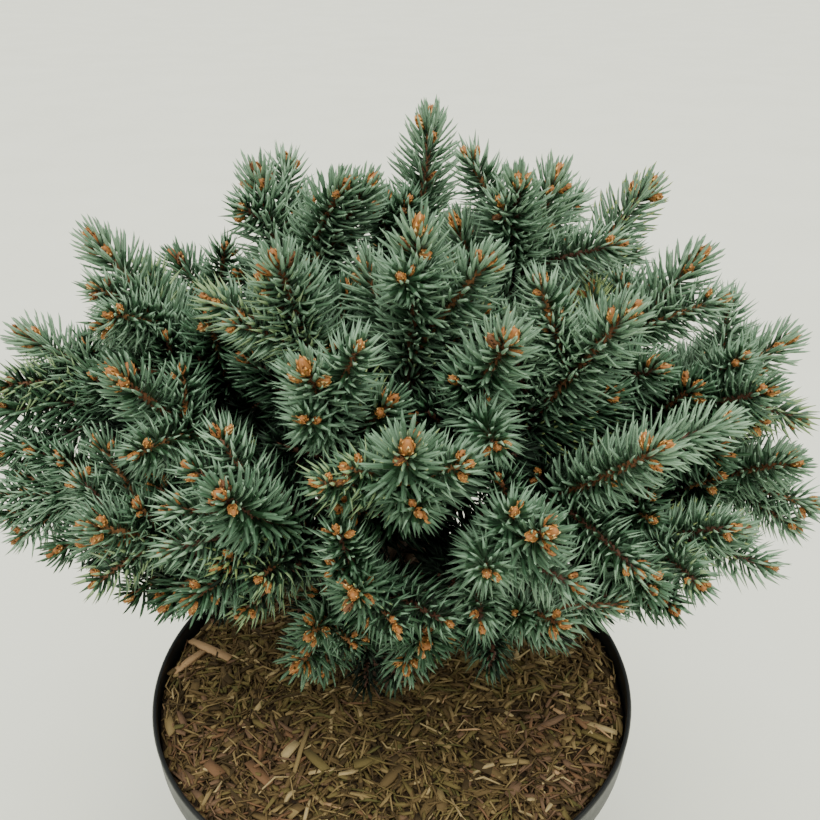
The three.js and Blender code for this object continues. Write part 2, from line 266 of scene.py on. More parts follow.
def grid_faces(rings: int, sides: int) -> Array:
    """Quads of a tube of rings, closed round, with their fronts outwards.

    Args:
        rings: number of rings.
        sides: points in each ring, counted anticlockwise seen against the way along the tube.

    Returns:
        Corner numbers, four a row.
    """
    i, j = np.meshgrid(np.arange(rings - 1), np.arange(sides), indexing="ij")
    a = (i * sides + j).ravel()
    b = (i * sides + (j + 1) % sides).ravel()
    return np.stack([a, b, b + sides, a + sides], axis=1)


def cap_faces(rings: int, sides: int) -> Array:
    """Triangles that close a tube's two ends to points that follow its rings.

    Args:
        rings: number of rings.
        sides: points in each ring.

    Returns:
        Corner numbers, three a row. The start's point is rings * sides and the end's the next.
    """
    j = np.arange(sides)
    k = (j + 1) % sides
    first, last = rings * sides, (rings - 1) * sides
    start = np.stack([np.full(sides, first), k, j], axis=1)
    end = np.stack([np.full(sides, first + 1), last + j, last + k], axis=1)
    return np.concatenate([start, end])


def tube_faces(rings: int, sides: int) -> list[Array]:
    """The quads of a closed tube, and the triangles of its ends."""
    return [grid_faces(rings, sides), cap_faces(rings, sides)]


def repeat_faces(faces: Array, copies: int, stride: int) -> Array:
    """The same faces for copies of a small mesh, with a stride of vertices from each to the next."""
    shift = (np.arange(copies) * stride)[:, None, None]
    return (faces[None] + shift).reshape(-1, faces.shape[1])


def tube(centres: Array, radii: Array, sides: int, swell: Array | None = None) -> Mesh:
    """A closed tube along a path: each ring is a circle square to the path, its radius swelled.

    Args:
        centres: the path's points, one a row.
        radii: the tube's radius at each point.
        sides: points in each ring.
        swell: a factor for each ring and side, or none.

    Returns:
        The vertices, and the faces as arrays of quads and triangles.
    """
    ahead = unit(np.gradient(centres, axis=0))
    rings = np.zeros((len(centres), sides, 3))
    u, _ = across(ahead[0])
    turns = even_turns(sides)
    factor = np.ones((len(centres), sides)) if swell is None else swell
    for i, way in enumerate(ahead):
        u = unit(u - way * (u @ way))
        rings[i] = centres[i] + spokes(u, np.cross(way, u), turns) * (radii[i] * factor[i])[:, None]
    points = np.concatenate([rings.reshape(-1, 3), centres[:1], centres[-1:]])
    return points, tube_faces(len(centres), sides)


def ring_places(radii: Array, sides: int) -> tuple[Array, Array]:
    """The x and the y of level rings' points, a row for each ring and a column for each side."""
    turns = even_turns(sides)
    return radii[:, None] * np.cos(turns), radii[:, None] * np.sin(turns)


def turned(radii: Array, heights: Array) -> Mesh:
    """A closed round solid about the upright axis.

    Args:
        radii: each ring's radius, from the middle of the underside round to that of the top.
        heights: each point's height, a row for each ring and a column for each side.

    Returns:
        The vertices, and the faces as arrays of quads and triangles.
    """
    rings, sides = heights.shape
    points = np.stack([*ring_places(radii, sides), heights], axis=2).reshape(-1, 3)
    ends = [(0.0, 0.0, heights[0].mean()), (0.0, 0.0, heights[-1].mean())]
    return np.concatenate([points, ends]), tube_faces(rings, sides)


# Finishes


def linear(colour: Colour) -> tuple[float, float, float, float]:
    """A screen's colour as the shader's.

    Args:
        colour: red, green and blue from 0 to 255, as a screen shows them.

    Returns:
        The same in linear light from 0 to 1, and full opacity.
    """
    parts = np.array(colour) / 255
    low, high = parts / 12.92, ((parts + 0.055) / 1.055) ** 2.4
    red, green, blue = np.where(parts <= 0.04045, low, high)
    return float(red), float(green), float(blue), 1.0


class Sheet:
    """A material's node sheet, with short calls that add a node and join it to others."""

    def __init__(self, name: str) -> None:
        """Starts a material with a shader and its output.

        Args:
            name: the material's name.
        """
        self.material = bpy.data.materials.new(name)
        self.material.use_nodes = True
        self.nodes = self.material.node_tree.nodes
        self.links = self.material.node_tree.links
        self.shader = self.nodes["Principled BSDF"]

    def node(self, kind: str, **settings: object) -> bpy.types.Node:
        """Adds a node.

        Args:
            kind: the node's type without its first words, such as TexNoise.
            settings: values of its input sockets, by name.

        Returns:
            The node.
        """
        made = self.nodes.new(f"ShaderNode{kind}")
        for key, value in settings.items():
            made.inputs[key].default_value = value
        return made

    def join(self, source: bpy.types.NodeSocket, target: bpy.types.NodeSocket) -> None:
        """Joins an output to an input."""
        self.links.new(source, target)

    def set(self, **settings: object) -> None:
        """Sets the shader's own inputs, by their names with a low line for each space."""
        for key, value in settings.items():
            self.shader.inputs[key.replace("_", " ")].default_value = value

    def noise(self, waves: float, octaves: float, stretch: Triple | None = None) -> bpy.types.NodeSocket:
        """Noise over the piece, read at its Object coordinates.

        Args:
            waves: waves in a metre.
            octaves: octaves of finer noise.
            stretch: factors for the three directions, or none.

        Returns:
            The noise's value, from 0 to 1.
        """
        made = self.node("TexNoise", Scale=waves, Detail=octaves, Roughness=0.6)
        place = self.node("TexCoord").outputs["Object"]
        if stretch is not None:
            mapping = self.node("Mapping", Scale=stretch)
            self.join(place, mapping.inputs["Vector"])
            place = mapping.outputs["Vector"]
        self.join(place, made.inputs["Vector"])
        return made.outputs["Fac"]

    def colour_by(self, source: bpy.types.NodeSocket, stops: ColourStops) -> None:
        """Colours the surface in place of a value.

        Args:
            source: the value.
            stops: places from 0 to 1 and the colours there.
        """
        made = self.node("ValToRGB")
        bar = made.color_ramp.elements
        while len(bar) < len(stops):
            bar.new(0.5)
        for element, (at, colour) in zip(bar, stops):
            element.position = at
            element.color = linear(colour)
        self.join(source, made.inputs["Fac"])
        self.join(made.outputs["Color"], self.shader.inputs["Base Color"])

    def gloss_by(self, source: bpy.types.NodeSocket, smooth: float, rough: float) -> None:
        """Lets the roughness follow a value.

        Args:
            source: the value, from 0 to 1.
            smooth: the roughness at 0.
            rough: the roughness at 1.
        """
        made = self.node("MapRange", **{"To Min": smooth, "To Max": rough})
        self.join(source, made.inputs["Value"])
        self.join(made.outputs["Result"], self.shader.inputs["Roughness"])

    def bump(self, source: bpy.types.NodeSocket, depth: float, strength: float) -> None:
        """Lets a value stand out of the surface.

        Args:
            source: the height, from 0 to 1.
            depth: metres between a height of 0 and of 1.
            strength: how strongly it is seen.
        """
        made = self.node("Bump", Strength=strength, Distance=depth)
        self.join(source, made.inputs["Height"])
        self.join(made.outputs["Normal"], self.shader.inputs["Normal"])


@dataclass(frozen=True)
class PlainFinish:
    """One base colour that whole sprays, buds or chips are dealt, with its gloss and bloom."""

    name: str
    colour: Colour
    roughness: float
    specular: float
    sheen: float = 0.0

    def material(self) -> bpy.types.Material:
        """Returns the finish as a material."""
        sheet = Sheet(self.name)
        sheet.set(Base_Color=linear(self.colour), Roughness=self.roughness)
        sheet.set(Specular_IOR_Level=self.specular, Sheen_Weight=self.sheen, Sheen_Roughness=0.5)
        return sheet.material


@dataclass(frozen=True)
class PotPlastic:
    """Black moulded plastic: fine grain, faint cloudy gloss and a little dust in patches."""

    name: str = "pot_plastic"
    black: Colour = (22, 24, 24)
    dusty: Colour = (36, 38, 36)
    dust_waves: float = 38.0
    gloss_waves: float = 90.0
    gloss: Pair = (0.34, 0.52)
    specular: float = 0.38
    grain_waves: float = 2600.0
    grain_depth: float = 0.00008

    def material(self) -> bpy.types.Material:
        """Returns the finish as a material."""
        sheet = Sheet(self.name)
        stops = ((0.0, self.black), (0.5, self.black), (1.0, self.dusty))
        sheet.colour_by(sheet.noise(self.dust_waves, 5), stops)
        sheet.gloss_by(sheet.noise(self.gloss_waves, 3), *self.gloss)
        sheet.set(Specular_IOR_Level=self.specular)
        sheet.bump(sheet.noise(self.grain_waves, 2), self.grain_depth, 0.5)
        return sheet.material


@dataclass(frozen=True)
class NoiseFinish:
    """Colours that follow noise over the piece, whose high places can also stand out.

    Waves are counted in a metre, and the relief is its depth in metres and its strength.
    """

    name: str
    stops: ColourStops
    waves: float
    octaves: float
    roughness: float
    stretch: Triple | None = None
    relief: Pair | None = None

    def material(self) -> bpy.types.Material:
        """Returns the finish as a material."""
        sheet = Sheet(self.name)
        pattern = sheet.noise(self.waves, self.octaves, self.stretch)
        sheet.colour_by(pattern, self.stops)
        sheet.set(Roughness=self.roughness)
        if self.relief is not None:
            sheet.bump(pattern, *self.relief)
        return sheet.material


# Old grey-brown bark with dark cracks, its scales drawn out along the trunk
LIMB_BARK = NoiseFinish(
    "limb_bark",
    stops=((0.3, (40, 26, 18)), (0.5, (82, 62, 46)), (0.72, (110, 95, 79))),
    waves=420,
    octaves=6,
    roughness=0.88,
    stretch=(1.0, 1.0, 0.45),
    relief=(0.0006, 0.8),
)
# The damp crumbly filling between and under the bark chips
DARK_HUMUS = NoiseFinish(
    "dark_humus",
    stops=((0.35, (42, 31, 18)), (0.7, (84, 65, 39))),
    waves=520,
    octaves=6,
    roughness=0.95,
    relief=(0.0012, 1.0),
)
# Matt off-white paint
PALE_FLOOR = NoiseFinish(
    "pale_floor",
    stops=((0.3, (242, 244, 228)), (0.7, (247, 249, 234))),
    waves=5,
    octaves=3,
    roughness=0.7,
)


class Tints(Enum):
    """A set of plain finishes that one piece's sprays, buds or chips are dealt.

    Each has its colour, roughness, specular level and, on needles with a bloom, sheen.
    """

    @property
    def number(self) -> int:
        """Its place in the set, which is its material number."""
        return list(type(self)).index(self)

    @classmethod
    def materials(cls) -> list[bpy.types.Material]:
        """The whole set as materials, in order, each named after the set and its tint."""
        first = cls.__name__.removesuffix("Tint").lower()
        return [PlainFinish(f"{first}_{tint.name.lower()}", *tint.value).material() for tint in cls]


# The plan of the crown, as in the part's source


@dataclass(frozen=True)
class MassPlan:
    """A mass of shoots: bearing and rise in degrees, and reach from the hub to its leading bud."""

    bearing: float
    rise: float
    reach: float

    def axis(self) -> Array:
        """The unit direction from the hub to the leading bud."""
        return heading(self.bearing, self.rise)


@dataclass(frozen=True)
class BoughPlan:
    """A bough: the height that it leaves the trunk at, and the two masses at its fork."""

    name: str
    root: float
    masses: tuple[MassPlan, MassPlan]

    def way(self) -> Array:
        """The direction that the bough ends in, midway between its two masses."""
        return unit(self.masses[0].axis() + self.masses[1].axis())


def bough(name: str, root: float, *masses: Triple) -> BoughPlan:
    """A bough's plan from plain numbers."""
    return BoughPlan(name, root, (MassPlan(*masses[0]), MassPlan(*masses[1])))


CROWN_PLAN = (
    bough("crest_left", 226, (-105, 74, 158), (-125, 46, 150)),
    bough("crest_front_left", 206, (-36, 70, 150), (-16, 59, 141)),
    bough("crest_front_right", 215, (12, 73, 157), (27, 60, 148)),
    bough("crest_right", 220, (92, 71, 162), (114, 54, 173)),
    bough("shoulder_left", 200, (-89, 55, 163), (-96, 36, 161)),
    bough("shoulder_right", 199, (56, 57, 152), (89, 52, 162)),
    bough("shoulder_front", 197, (4, 50, 144), (-25, 44, 136)),
    bough("shoulder_back", 201, (172, 57, 150), (180, 36, 148)),
    bough("shoulder_back_left", 191, (-152, 60, 150), (-150, 37, 148)),
    bough("flank_left", 189, (-58, 50, 142), (-56, 31, 127)),
    bough("flank_right", 182, (50, 43, 139), (65, 25, 134)),
    bough("flank_back_right", 186, (142, 38, 150), (122, 21, 150)),
    bough("side_right", 175, (90, 36, 167), (91, 19, 153)),
    bough("side_left", 177, (-87, 20, 142), (-66, 23, 118)),
    bough("skirt_back_left", 182, (-121, 20, 142), (-152, 19, 138)),
    bough("skirt_back", 178, (152, 20, 142), (178, 18, 139)),
    bough("skirt_front_right", 193, (24, 40, 136), (34, 24, 104)),
    bough("skirt_front", 183, (-18, 23, 84), (-5, 35, 112)),
)
LEADER_PLAN = MassPlan(156, 78, 168)
LOW_TWIG_PLANS = (
    ("low_front_left", 173.0, MassPlan(-30, 2, 64)),
    ("low_front_right", 178.0, MassPlan(9, 23, 84)),
)


@dataclass(frozen=True)
class PhotoCamera:
    """The camera: at the photograph's place, looking down at the plant."""

    place: Triple = (7.0, -273.0, 415.3)
    pitch: float = 28.1
    lens: float = 39.51
    sensor: float = 36.0
    pixels: int = 820

    def sight(self, across: float, down: float) -> Array:
        """The line of sight through a pixel of the photograph, scaled to go 1 mm forward."""
        pitch = math.radians(self.pitch)
        forward = np.array([0, math.cos(pitch), -math.sin(pitch)])
        upward = np.array([0, math.sin(pitch), math.cos(pitch)])
        focal = self.lens / self.sensor * self.pixels
        middle = self.pixels / 2
        return forward + (across - middle) / focal * RIGHT - (down - middle) / focal * upward

    def on_level(self, across: float, down: float, level: float) -> Array:
        """Where the line of sight through a pixel meets a level."""
        sight = self.sight(across, down)
        return np.array(self.place) + (level - self.place[2]) / sight[2] * sight

    def build(self) -> None:
        """Makes the camera and sets it as the scene's."""
        camera = bpy.data.objects.new("photo_camera", bpy.data.cameras.new("photo_camera"))
        camera.data.lens = self.lens
        camera.data.sensor_width = self.sensor
        camera.data.clip_start = 0.01
        camera.data.clip_end = 100.0
        camera.location = [c * MM for c in self.place]
        camera.rotation_euler = (math.radians(90 - self.pitch), 0, 0)
        bpy.context.scene.collection.objects.link(camera)
        bpy.context.scene.camera = camera


PHOTO_CAMERA = PhotoCamera()


@dataclass(frozen=True)
class CrownSurface:
    """How far the crown reaches each way: its masses' reaches, of which the nearest count most."""

    spread: float = 14.0
    lowest_share: float = 0.2
    near: float = 150.0
    far: float = 800.0
    steps: int = 2601

    def reaches(self, ways: Array) -> Array:
        """The crown's reach in each of a number of directions."""
        low_plans = [plan for _, _, plan in LOW_TWIG_PLANS]
        plans = [*(mass for plan in CROWN_PLAN for mass in plan.masses), LEADER_PLAN, *low_plans]
        axes = np.array([plan.axis() for plan in plans])
        angles = np.degrees(np.arccos(np.clip(axes @ ways.T, -1, 1)))
        weights = np.exp(-((angles / self.spread) ** 2))
        weights[plans.index(low_plans[0])] *= self.lowest_share
        return np.array([plan.reach for plan in plans]) @ weights / weights.sum(axis=0)

    def place(self, across: float, down: float, share: float) -> tuple[int, int, int]:
        """Where the line of sight through a pixel first gets to a share of the crown's reach.

        Args:
            across: the pixel's column in the photograph.
            down: its row.
            share: the share of the reach.

        Returns:
            The bearing, the rise and the distance from the hub, in whole degrees and millimetres.
        """
        forward = np.linspace(self.near, self.far, self.steps)[:, None]
        line = np.array(PHOTO_CAMERA.place) + forward * PHOTO_CAMERA.sight(across, down) - HUB
        outs = np.linalg.norm(line, axis=1)
        shares = outs / self.reaches(line / outs[:, None])
        inside = np.flatnonzero(shares <= share)
        first = inside[0] if len(inside) else int(np.argmin(shares))
        x, y, z = line[first]
        rise = math.degrees(math.asin(z / outs[first]))
        return round(math.degrees(math.atan2(x, -y))), round(rise), round(float(outs[first]))


CROWN_SURFACE = CrownSurface()


@dataclass(frozen=True)
class SeenTip:
    """A smaller shoot that the photo shows: where its tip is from the hub, and its length."""

    bearing: float
    rise: float
    out: float
    length: float

    @classmethod
    def at(cls, across: float, down: float, length: float, share: float) -> "SeenTip":
        """The shoot whose tip is at a pixel of the photograph, at a share of the crown's reach."""
        return cls(*CROWN_SURFACE.place(across, down, share), length)

    def way(self) -> Array:
        """The unit direction from the hub to its tip."""
        return heading(self.bearing, self.rise)


# Each row holds the pixel of a tip in the photograph's 820 by 820 frame, its shoot's length, and
# the share of the crown's reach that it lies at.
SEEN_PIXELS = (
    (-2, 418, 42, 0.96), (3, 390, 30, 0.9), (-6, 497, 34, 0.98), (78, 481, 26, 0.93),
    (135, 457, 28, 0.93), (192, 465, 22, 0.9), (220, 437, 24, 0.88), (138, 508, 18, 0.86),
    (172, 510, 22, 0.9), (168, 551, 24, 0.93), (98, 580, 24, 0.93), (190, 600, 26, 0.97),
    (219, 565, 18, 0.88), (243, 612, 20, 0.9), (20, 540, 24, 0.92), (260, 577, 34, 0.9),
    (331, 562, 16, 0.85), (336, 529, 24, 0.9), (395, 626, 22, 0.97), (100, 444, 26, 0.85),
    (447, 620, 26, 0.95), (480, 628, 24, 0.97), (490, 573, 30, 0.97), (575, 582, 26, 0.96),
    (634, 572, 28, 0.97), (510, 512, 24, 0.93), (620, 603, 20, 0.93), (672, 610, 28, 0.95),
    (812, 502, 30, 0.97), (795, 528, 24, 0.95), (765, 562, 30, 0.98), (796, 416, 32, 0.96),
    (727, 421, 26, 0.93), (757, 373, 26, 0.9), (745, 358, 22, 0.93), (360, 353, 32, 0.97),
    (306, 422, 24, 0.9), (322, 480, 22, 0.92), (348, 465, 16, 0.9), (398, 485, 16, 0.88),
    (420, 509, 20, 0.92), (468, 466, 24, 0.93), (497, 443, 28, 0.9), (488, 265, 42, 0.95),
    (540, 286, 30, 0.93), (554, 322, 20, 0.88), (618, 247, 34, 0.93), (540, 226, 26, 0.88),
    (576, 198, 26, 0.92), (720, 303, 34, 0.95), (346, 186, 34, 0.95), (370, 187, 28, 0.93),
    (210, 300, 32, 0.92), (262, 286, 24, 0.92), (236, 322, 20, 0.88), (100, 325, 20, 0.9),
    (655, 457, 16, 0.85), (133, 456, 24, 0.83), (61, 458, 30, 0.91), (472, 158, 34, 0.97),
    (522, 186, 38, 0.97), (497, 205, 28, 0.93), (287, 163, 28, 0.97), (650, 588, 28, 0.97),
    (697, 585, 30, 0.98), (98, 288, 28, 0.95), (108, 318, 24, 0.93), (730, 526, 28, 0.96),
    (8, 518, 32, 0.96), (792, 462, 28, 0.97),
)
# Two shoots at the photograph's left edge, placed in sizes, come before the row of this number.
EDGE_TIPS = (SeenTip(-86, 26, 136, 34), SeenTip(-88, 22, 146, 36))
EDGE_TIPS_AT = 58
PIXEL_TIPS = tuple(SeenTip.at(*row) for row in SEEN_PIXELS)
SEEN_TIPS = PIXEL_TIPS[:EDGE_TIPS_AT] + EDGE_TIPS + PIXEL_TIPS[EDGE_TIPS_AT:]

# The pixels of the dark hollows between those shoots, and how deep they are taken to lie
HOLLOW_SHARE = 0.86
HOLLOW_PIXELS = (
    (556, 435), (251, 432), (196, 507), (440, 548), (230, 385), (91, 443), (634, 500), (270, 560),
)
HOLLOWS = np.array([heading(*CROWN_SURFACE.place(*pixel, HOLLOW_SHARE)[:2]) for pixel in HOLLOW_PIXELS])


class Region(Enum):
    """The parts of the crown that are joined into one piece of needles each."""

    LEADER = "leader"
    CREST = "crest"
    SHOULDER = "shoulder"
    BACK = "back"
    FLANK = "flank"
    SIDE = "side"
    SKIRT = "skirt"

    @staticmethod
    def of(name: str) -> "Region":
        """The region that a mass is in.

        Args:
            name: the mass's name, which starts with that of its bough or twig.

        Returns:
            The region.
        """
        if name.startswith(("shoulder_back", "flank_back")):
            return Region.BACK
        first = name.split("_")[0]
        return Region.SKIRT if first == "low" else Region(first)


class ShootKind(Enum):
    """What a shoot is: a mass's leading one, one of its whorl, a finer one, or its stem."""

    LEADING = 0
    SIDE = 1
    SPRIG = 2
    TUFT = 3
    INNER = 4
    STEM = 5


class Draws(Enum):
    """What a mass draws random numbers for, and what that adds to its seed."""

    FINE_TWIGS = 500
    TUFTS = 700
    NEEDLES = 900
    BUDS = 1300
    TWIG_COLOURS = 1700


@dataclass
class Shoot:
    """A straight or slightly bent twig with needles, and its length in the photo or 0."""

    base: Array
    way: Array
    length: float
    kind: ShootKind
    bend: Array = field(default_factory=lambda: np.zeros(3))
    seen: float = 0.0

    def points(self, share: Array) -> Array:
        """Points on its middle line, the straight line plus a low arch, at places from 0 to 1."""
        arch = (4 * share * (1 - share))[:, None] * self.bend
        return self.base + np.outer(share * self.length, self.way) + arch

    def tangents(self, share: Array) -> Array:
        """Unit directions along its middle line at the same places."""
        slope = (4 * (1 - 2 * share))[:, None] * self.bend
        return unit(self.way * self.length + slope)

    @property
    def tip(self) -> Array:
        """The point that it ends at."""
        return self.base + self.way * self.length

    def marks(self, share: float) -> list[Array]:
        """The points that others keep clear of: its tip, and one a share along it."""
        return [self.tip, self.base + self.way * self.length * share]


@dataclass
class Mass:
    """A mass of shoots, the flat planes that bound its space, and the shoots in it.

    Its vigour grows along a curve, from nothing at weak_reach to full where it reaches reach_run
    further.
    """

    weak_reach: ClassVar[float] = 90.0
    reach_run: ClassVar[float] = 66.0
    vigour_curve: ClassVar[float] = 1.3
    low_vigour: ClassVar[float] = 0.5

    name: str
    region: Region
    plan: MassPlan
    start: Array
    seed: int
    bough: Array | None = None
    run: float = 0.0
    low: bool = False
    normals: Array = field(default_factory=lambda: np.zeros((0, 3)))
    offsets: Array = field(default_factory=lambda: np.zeros(0))
    shoots: list[Shoot] = field(default_factory=list)

    @property
    def node(self) -> str:
        """The name of the solid that it stands for."""
        return f"shoots_{self.name}"

    @property
    def vigour(self) -> float:
        """How strongly it grows, from 0 low at the front to 1 where it reaches far."""
        if self.low:
            return self.low_vigour
        return float(progress(self.plan.reach, self.weak_reach, self.reach_run)) ** self.vigour_curve

    def random(self, draws: Draws) -> Random:
        """Its own stream of random numbers for one purpose."""
        return np.random.default_rng(self.seed + draws.value)

    def room_along(self, point: Array, way: Array, margin: float) -> float:
        """How far the planes allow along a direction.

        Args:
            point: where it starts.
            way: a unit direction.
            margin: distance kept from the planes.

        Returns:
            The distance, or 0 where the point itself is outside.
        """
        spare = self.normals @ point - self.offsets - margin
        if (spare < 0).any():
            return 0.0
        slope = self.normals @ way
        towards = slope < -1e-9
        return float((spare[towards] / -slope[towards]).min(initial=math.inf))


@dataclass
class TrunkLine:
    """The trunk's middle line and sizes, as in the part's source.

    Its neck is where the flare of the foot ends, and run is how far it goes on above the hub.
    """

    foot_at: Pair = (-0.9, 8.3)
    foot_radius: float = 9.8
    flare: float = 0.14
    neck_radius: float = 6.9
    neck_height: float = 13.0
    fork_radius: float = 5.9
    tip_radius: float = 3.4
    run: float = 36.0
    ground: float = 142.0

    def at(self, height: float) -> Array:
        """The middle line's point at a height: straight up to the hub, then along the leader.

        Args:
            height: the height over the pot's underside.

        Returns:
            The point.
        """
        if height > HUB[2]:
            lean = LEADER_PLAN.axis()
            return HUB + lean * (height - HUB[2]) / lean[2]
        shift = (HUB[2] - height) / (HUB[2] - self.ground)
        return np.array([self.foot_at[0] * shift, self.foot_at[1] * shift, height])


@dataclass
class GrowthRule:
    """The source's rule for the crown.

    Its masses are bounded by planes, and each grows a leading shoot, a whorl and one low shoot.
    Shares are of the leading shoot's length, tilts are in degrees from the mass's axis, and what
    is called play is the most that a random number adds.
    """

    trunk: TrunkLine
    bough_share: float = 0.42
    stem: float = 1.7
    core: float = 1.5
    margin: float = 0.2
    lead_share: float = 0.27
    lead_play: float = 5.0
    bud: float = 5.5
    whorl: int = 3
    spacing: float = 7.0
    whorl_share: Pair = (0.66, 0.8)
    whorl_tilt: float = 38.0
    low_place: float = 0.35
    low_turn: float = 0.5
    low_share: Pair = (0.6, 0.72)
    low_tilt: float = 45.0
    roll_play: float = 0.5
    tilt_play: float = 10.0
    tries: int = 9
    swing: float = 0.35
    shortest: float = 12.0
    skirt_foot: float = 156.0
    skirt_slope: float = 0.58
    trunk_clear: float = 13.0
    steep: float = 65.0
    first_seed: int = 11

    def bough_run(self, plan: BoughPlan) -> float:
        """How far from the hub a bough ends."""
        return self.bough_share * min(mass.reach for mass in plan.masses)

    def masses(self) -> list[Mass]:
        """Every mass of the crown with the source's shoots, in the source's order."""
        found: list[Mass] = []

        def add(name: str, region: Region, plan: MassPlan, start: Array, **more: object) -> None:
            """Adds a mass, whose seed is its number."""
            found.append(Mass(name, region, plan, start, len(found) + self.first_seed, **more))

        for plan in CROWN_PLAN:
            way, run = plan.way(), self.bough_run(plan)
            for k, mass_plan in enumerate(plan.masses):
                side = mass_plan.axis()
                side = unit(side - way * (side @ way))
                start = HUB + way * (run + GAP) + side * (self.stem + self.margin + 0.2)
                name = f"{plan.name}_{k + 1}"
                add(name, Region.of(name), mass_plan, start, bough=way, run=run)
        add("leader", Region.LEADER, LEADER_PLAN, self.trunk.at(HUB[2] + self.trunk.run))
        for name, root, plan in LOW_TWIG_PLANS:
            add(name, Region.SKIRT, plan, self.trunk.at(root), low=True)
        for mass in found:
            self.bound(mass, found)
            self.grow(mass)
        return found

    def bound(self, mass: Mass, all_masses: list[Mass]) -> None:
        """Gives a mass the planes of its space: halfway to the others, over the pot, off the trunk.

        Args:
            mass: the mass.
            all_masses: every mass of the crown.
        """
        axis = mass.plan.axis()
        others = np.array([m.plan.axis() for m in all_masses if m is not mass])
        normals = unit(axis - others)
        offsets = normals @ HUB + self.margin
        level = unit(np.array([axis[0], axis[1], 0.0]))
        skirt = level * (0.0 if mass.low else -self.skirt_slope) + UP
        pitch = float(np.linalg.norm(skirt))
        extra = [(skirt / pitch, self.skirt_foot / pitch)]
        if mass.plan.rise < self.steep:
            extra.append((level, self.trunk_clear))
        if mass.bough is not None:
            extra.append((mass.bough, mass.bough @ HUB + mass.run + GAP))
        mass.normals = np.vstack([normals, [normal for normal, _ in extra]])
        mass.offsets = np.append(offsets, [offset for _, offset in extra])

    def side_shoot(self, mass: Mass, base: Array, roll: float, tilt: float, length: float) -> Shoot:
        """The way that a side shoot takes: the first of a fan of ways with room for it.

        Args:
            mass: the mass that it is in.
            base: where it starts.
            roll: its turn round the mass's axis, in radians.
            tilt: its angle from that axis, in degrees.
            length: the length that it would have.

        Returns:
            The shoot, as long as the room allows.
        """
        axis, lean = mass.plan.axis(), math.radians(tilt)
        u, v = across(axis)
        best: Shoot | None = None
        for turn in range(self.tries):
            swing = roll + (1 if turn % 2 else -1) * math.ceil(turn / 2) * self.swing
            way = spoke(axis, spoke(u, v, swing), lean)
            free = min(length, mass.room_along(base, way, self.core + 1))
            if best is None or free > best.length + 1:
                best = Shoot(base, way, free, ShootKind.SIDE)
            if free == length:
                break
        return best

    def grow(self, mass: Mass) -> None:
        """Grows the shoots that the source also has: a leading one, a whorl, one on the stem.

        Args:
            mass: the mass, whose shoots are filled in.
        """
        stream = SeededStream(mass.seed)
        axis = mass.plan.axis()
        leading = self.lead_share * mass.plan.reach + self.lead_play * stream.take()
        node = HUB + axis * (mass.plan.reach - leading - self.bud)
        mass.shoots = [Shoot(node, axis, leading, ShootKind.LEADING)]
        turn = stream.take() * FULL_TURN

        def side(base: Array, k: float, shares: Pair, tilt: float) -> None:
            """Adds one side shoot where it has room.

            Args:
                base: where it starts.
                k: its place in the whorl.
                shares: the least and the most of its length.
                tilt: the least tilt.
            """
            roll = turn + (k / self.whorl) * FULL_TURN + self.roll_play * (stream.take() - 0.5)
            length = leading * lerp(*shares, stream.take())
            found = self.side_shoot(mass, base, roll, tilt + self.tilt_play * stream.take(), length)
            if found.length > self.shortest:
                mass.shoots.append(found)

        for k in range(self.whorl):
            side(node - axis * (2 + self.spacing * k), k, self.whorl_share, self.whorl_tilt)
        low = mass.start + (node - mass.start) * self.low_place
        side(low, self.low_turn, self.low_share, self.low_tilt)


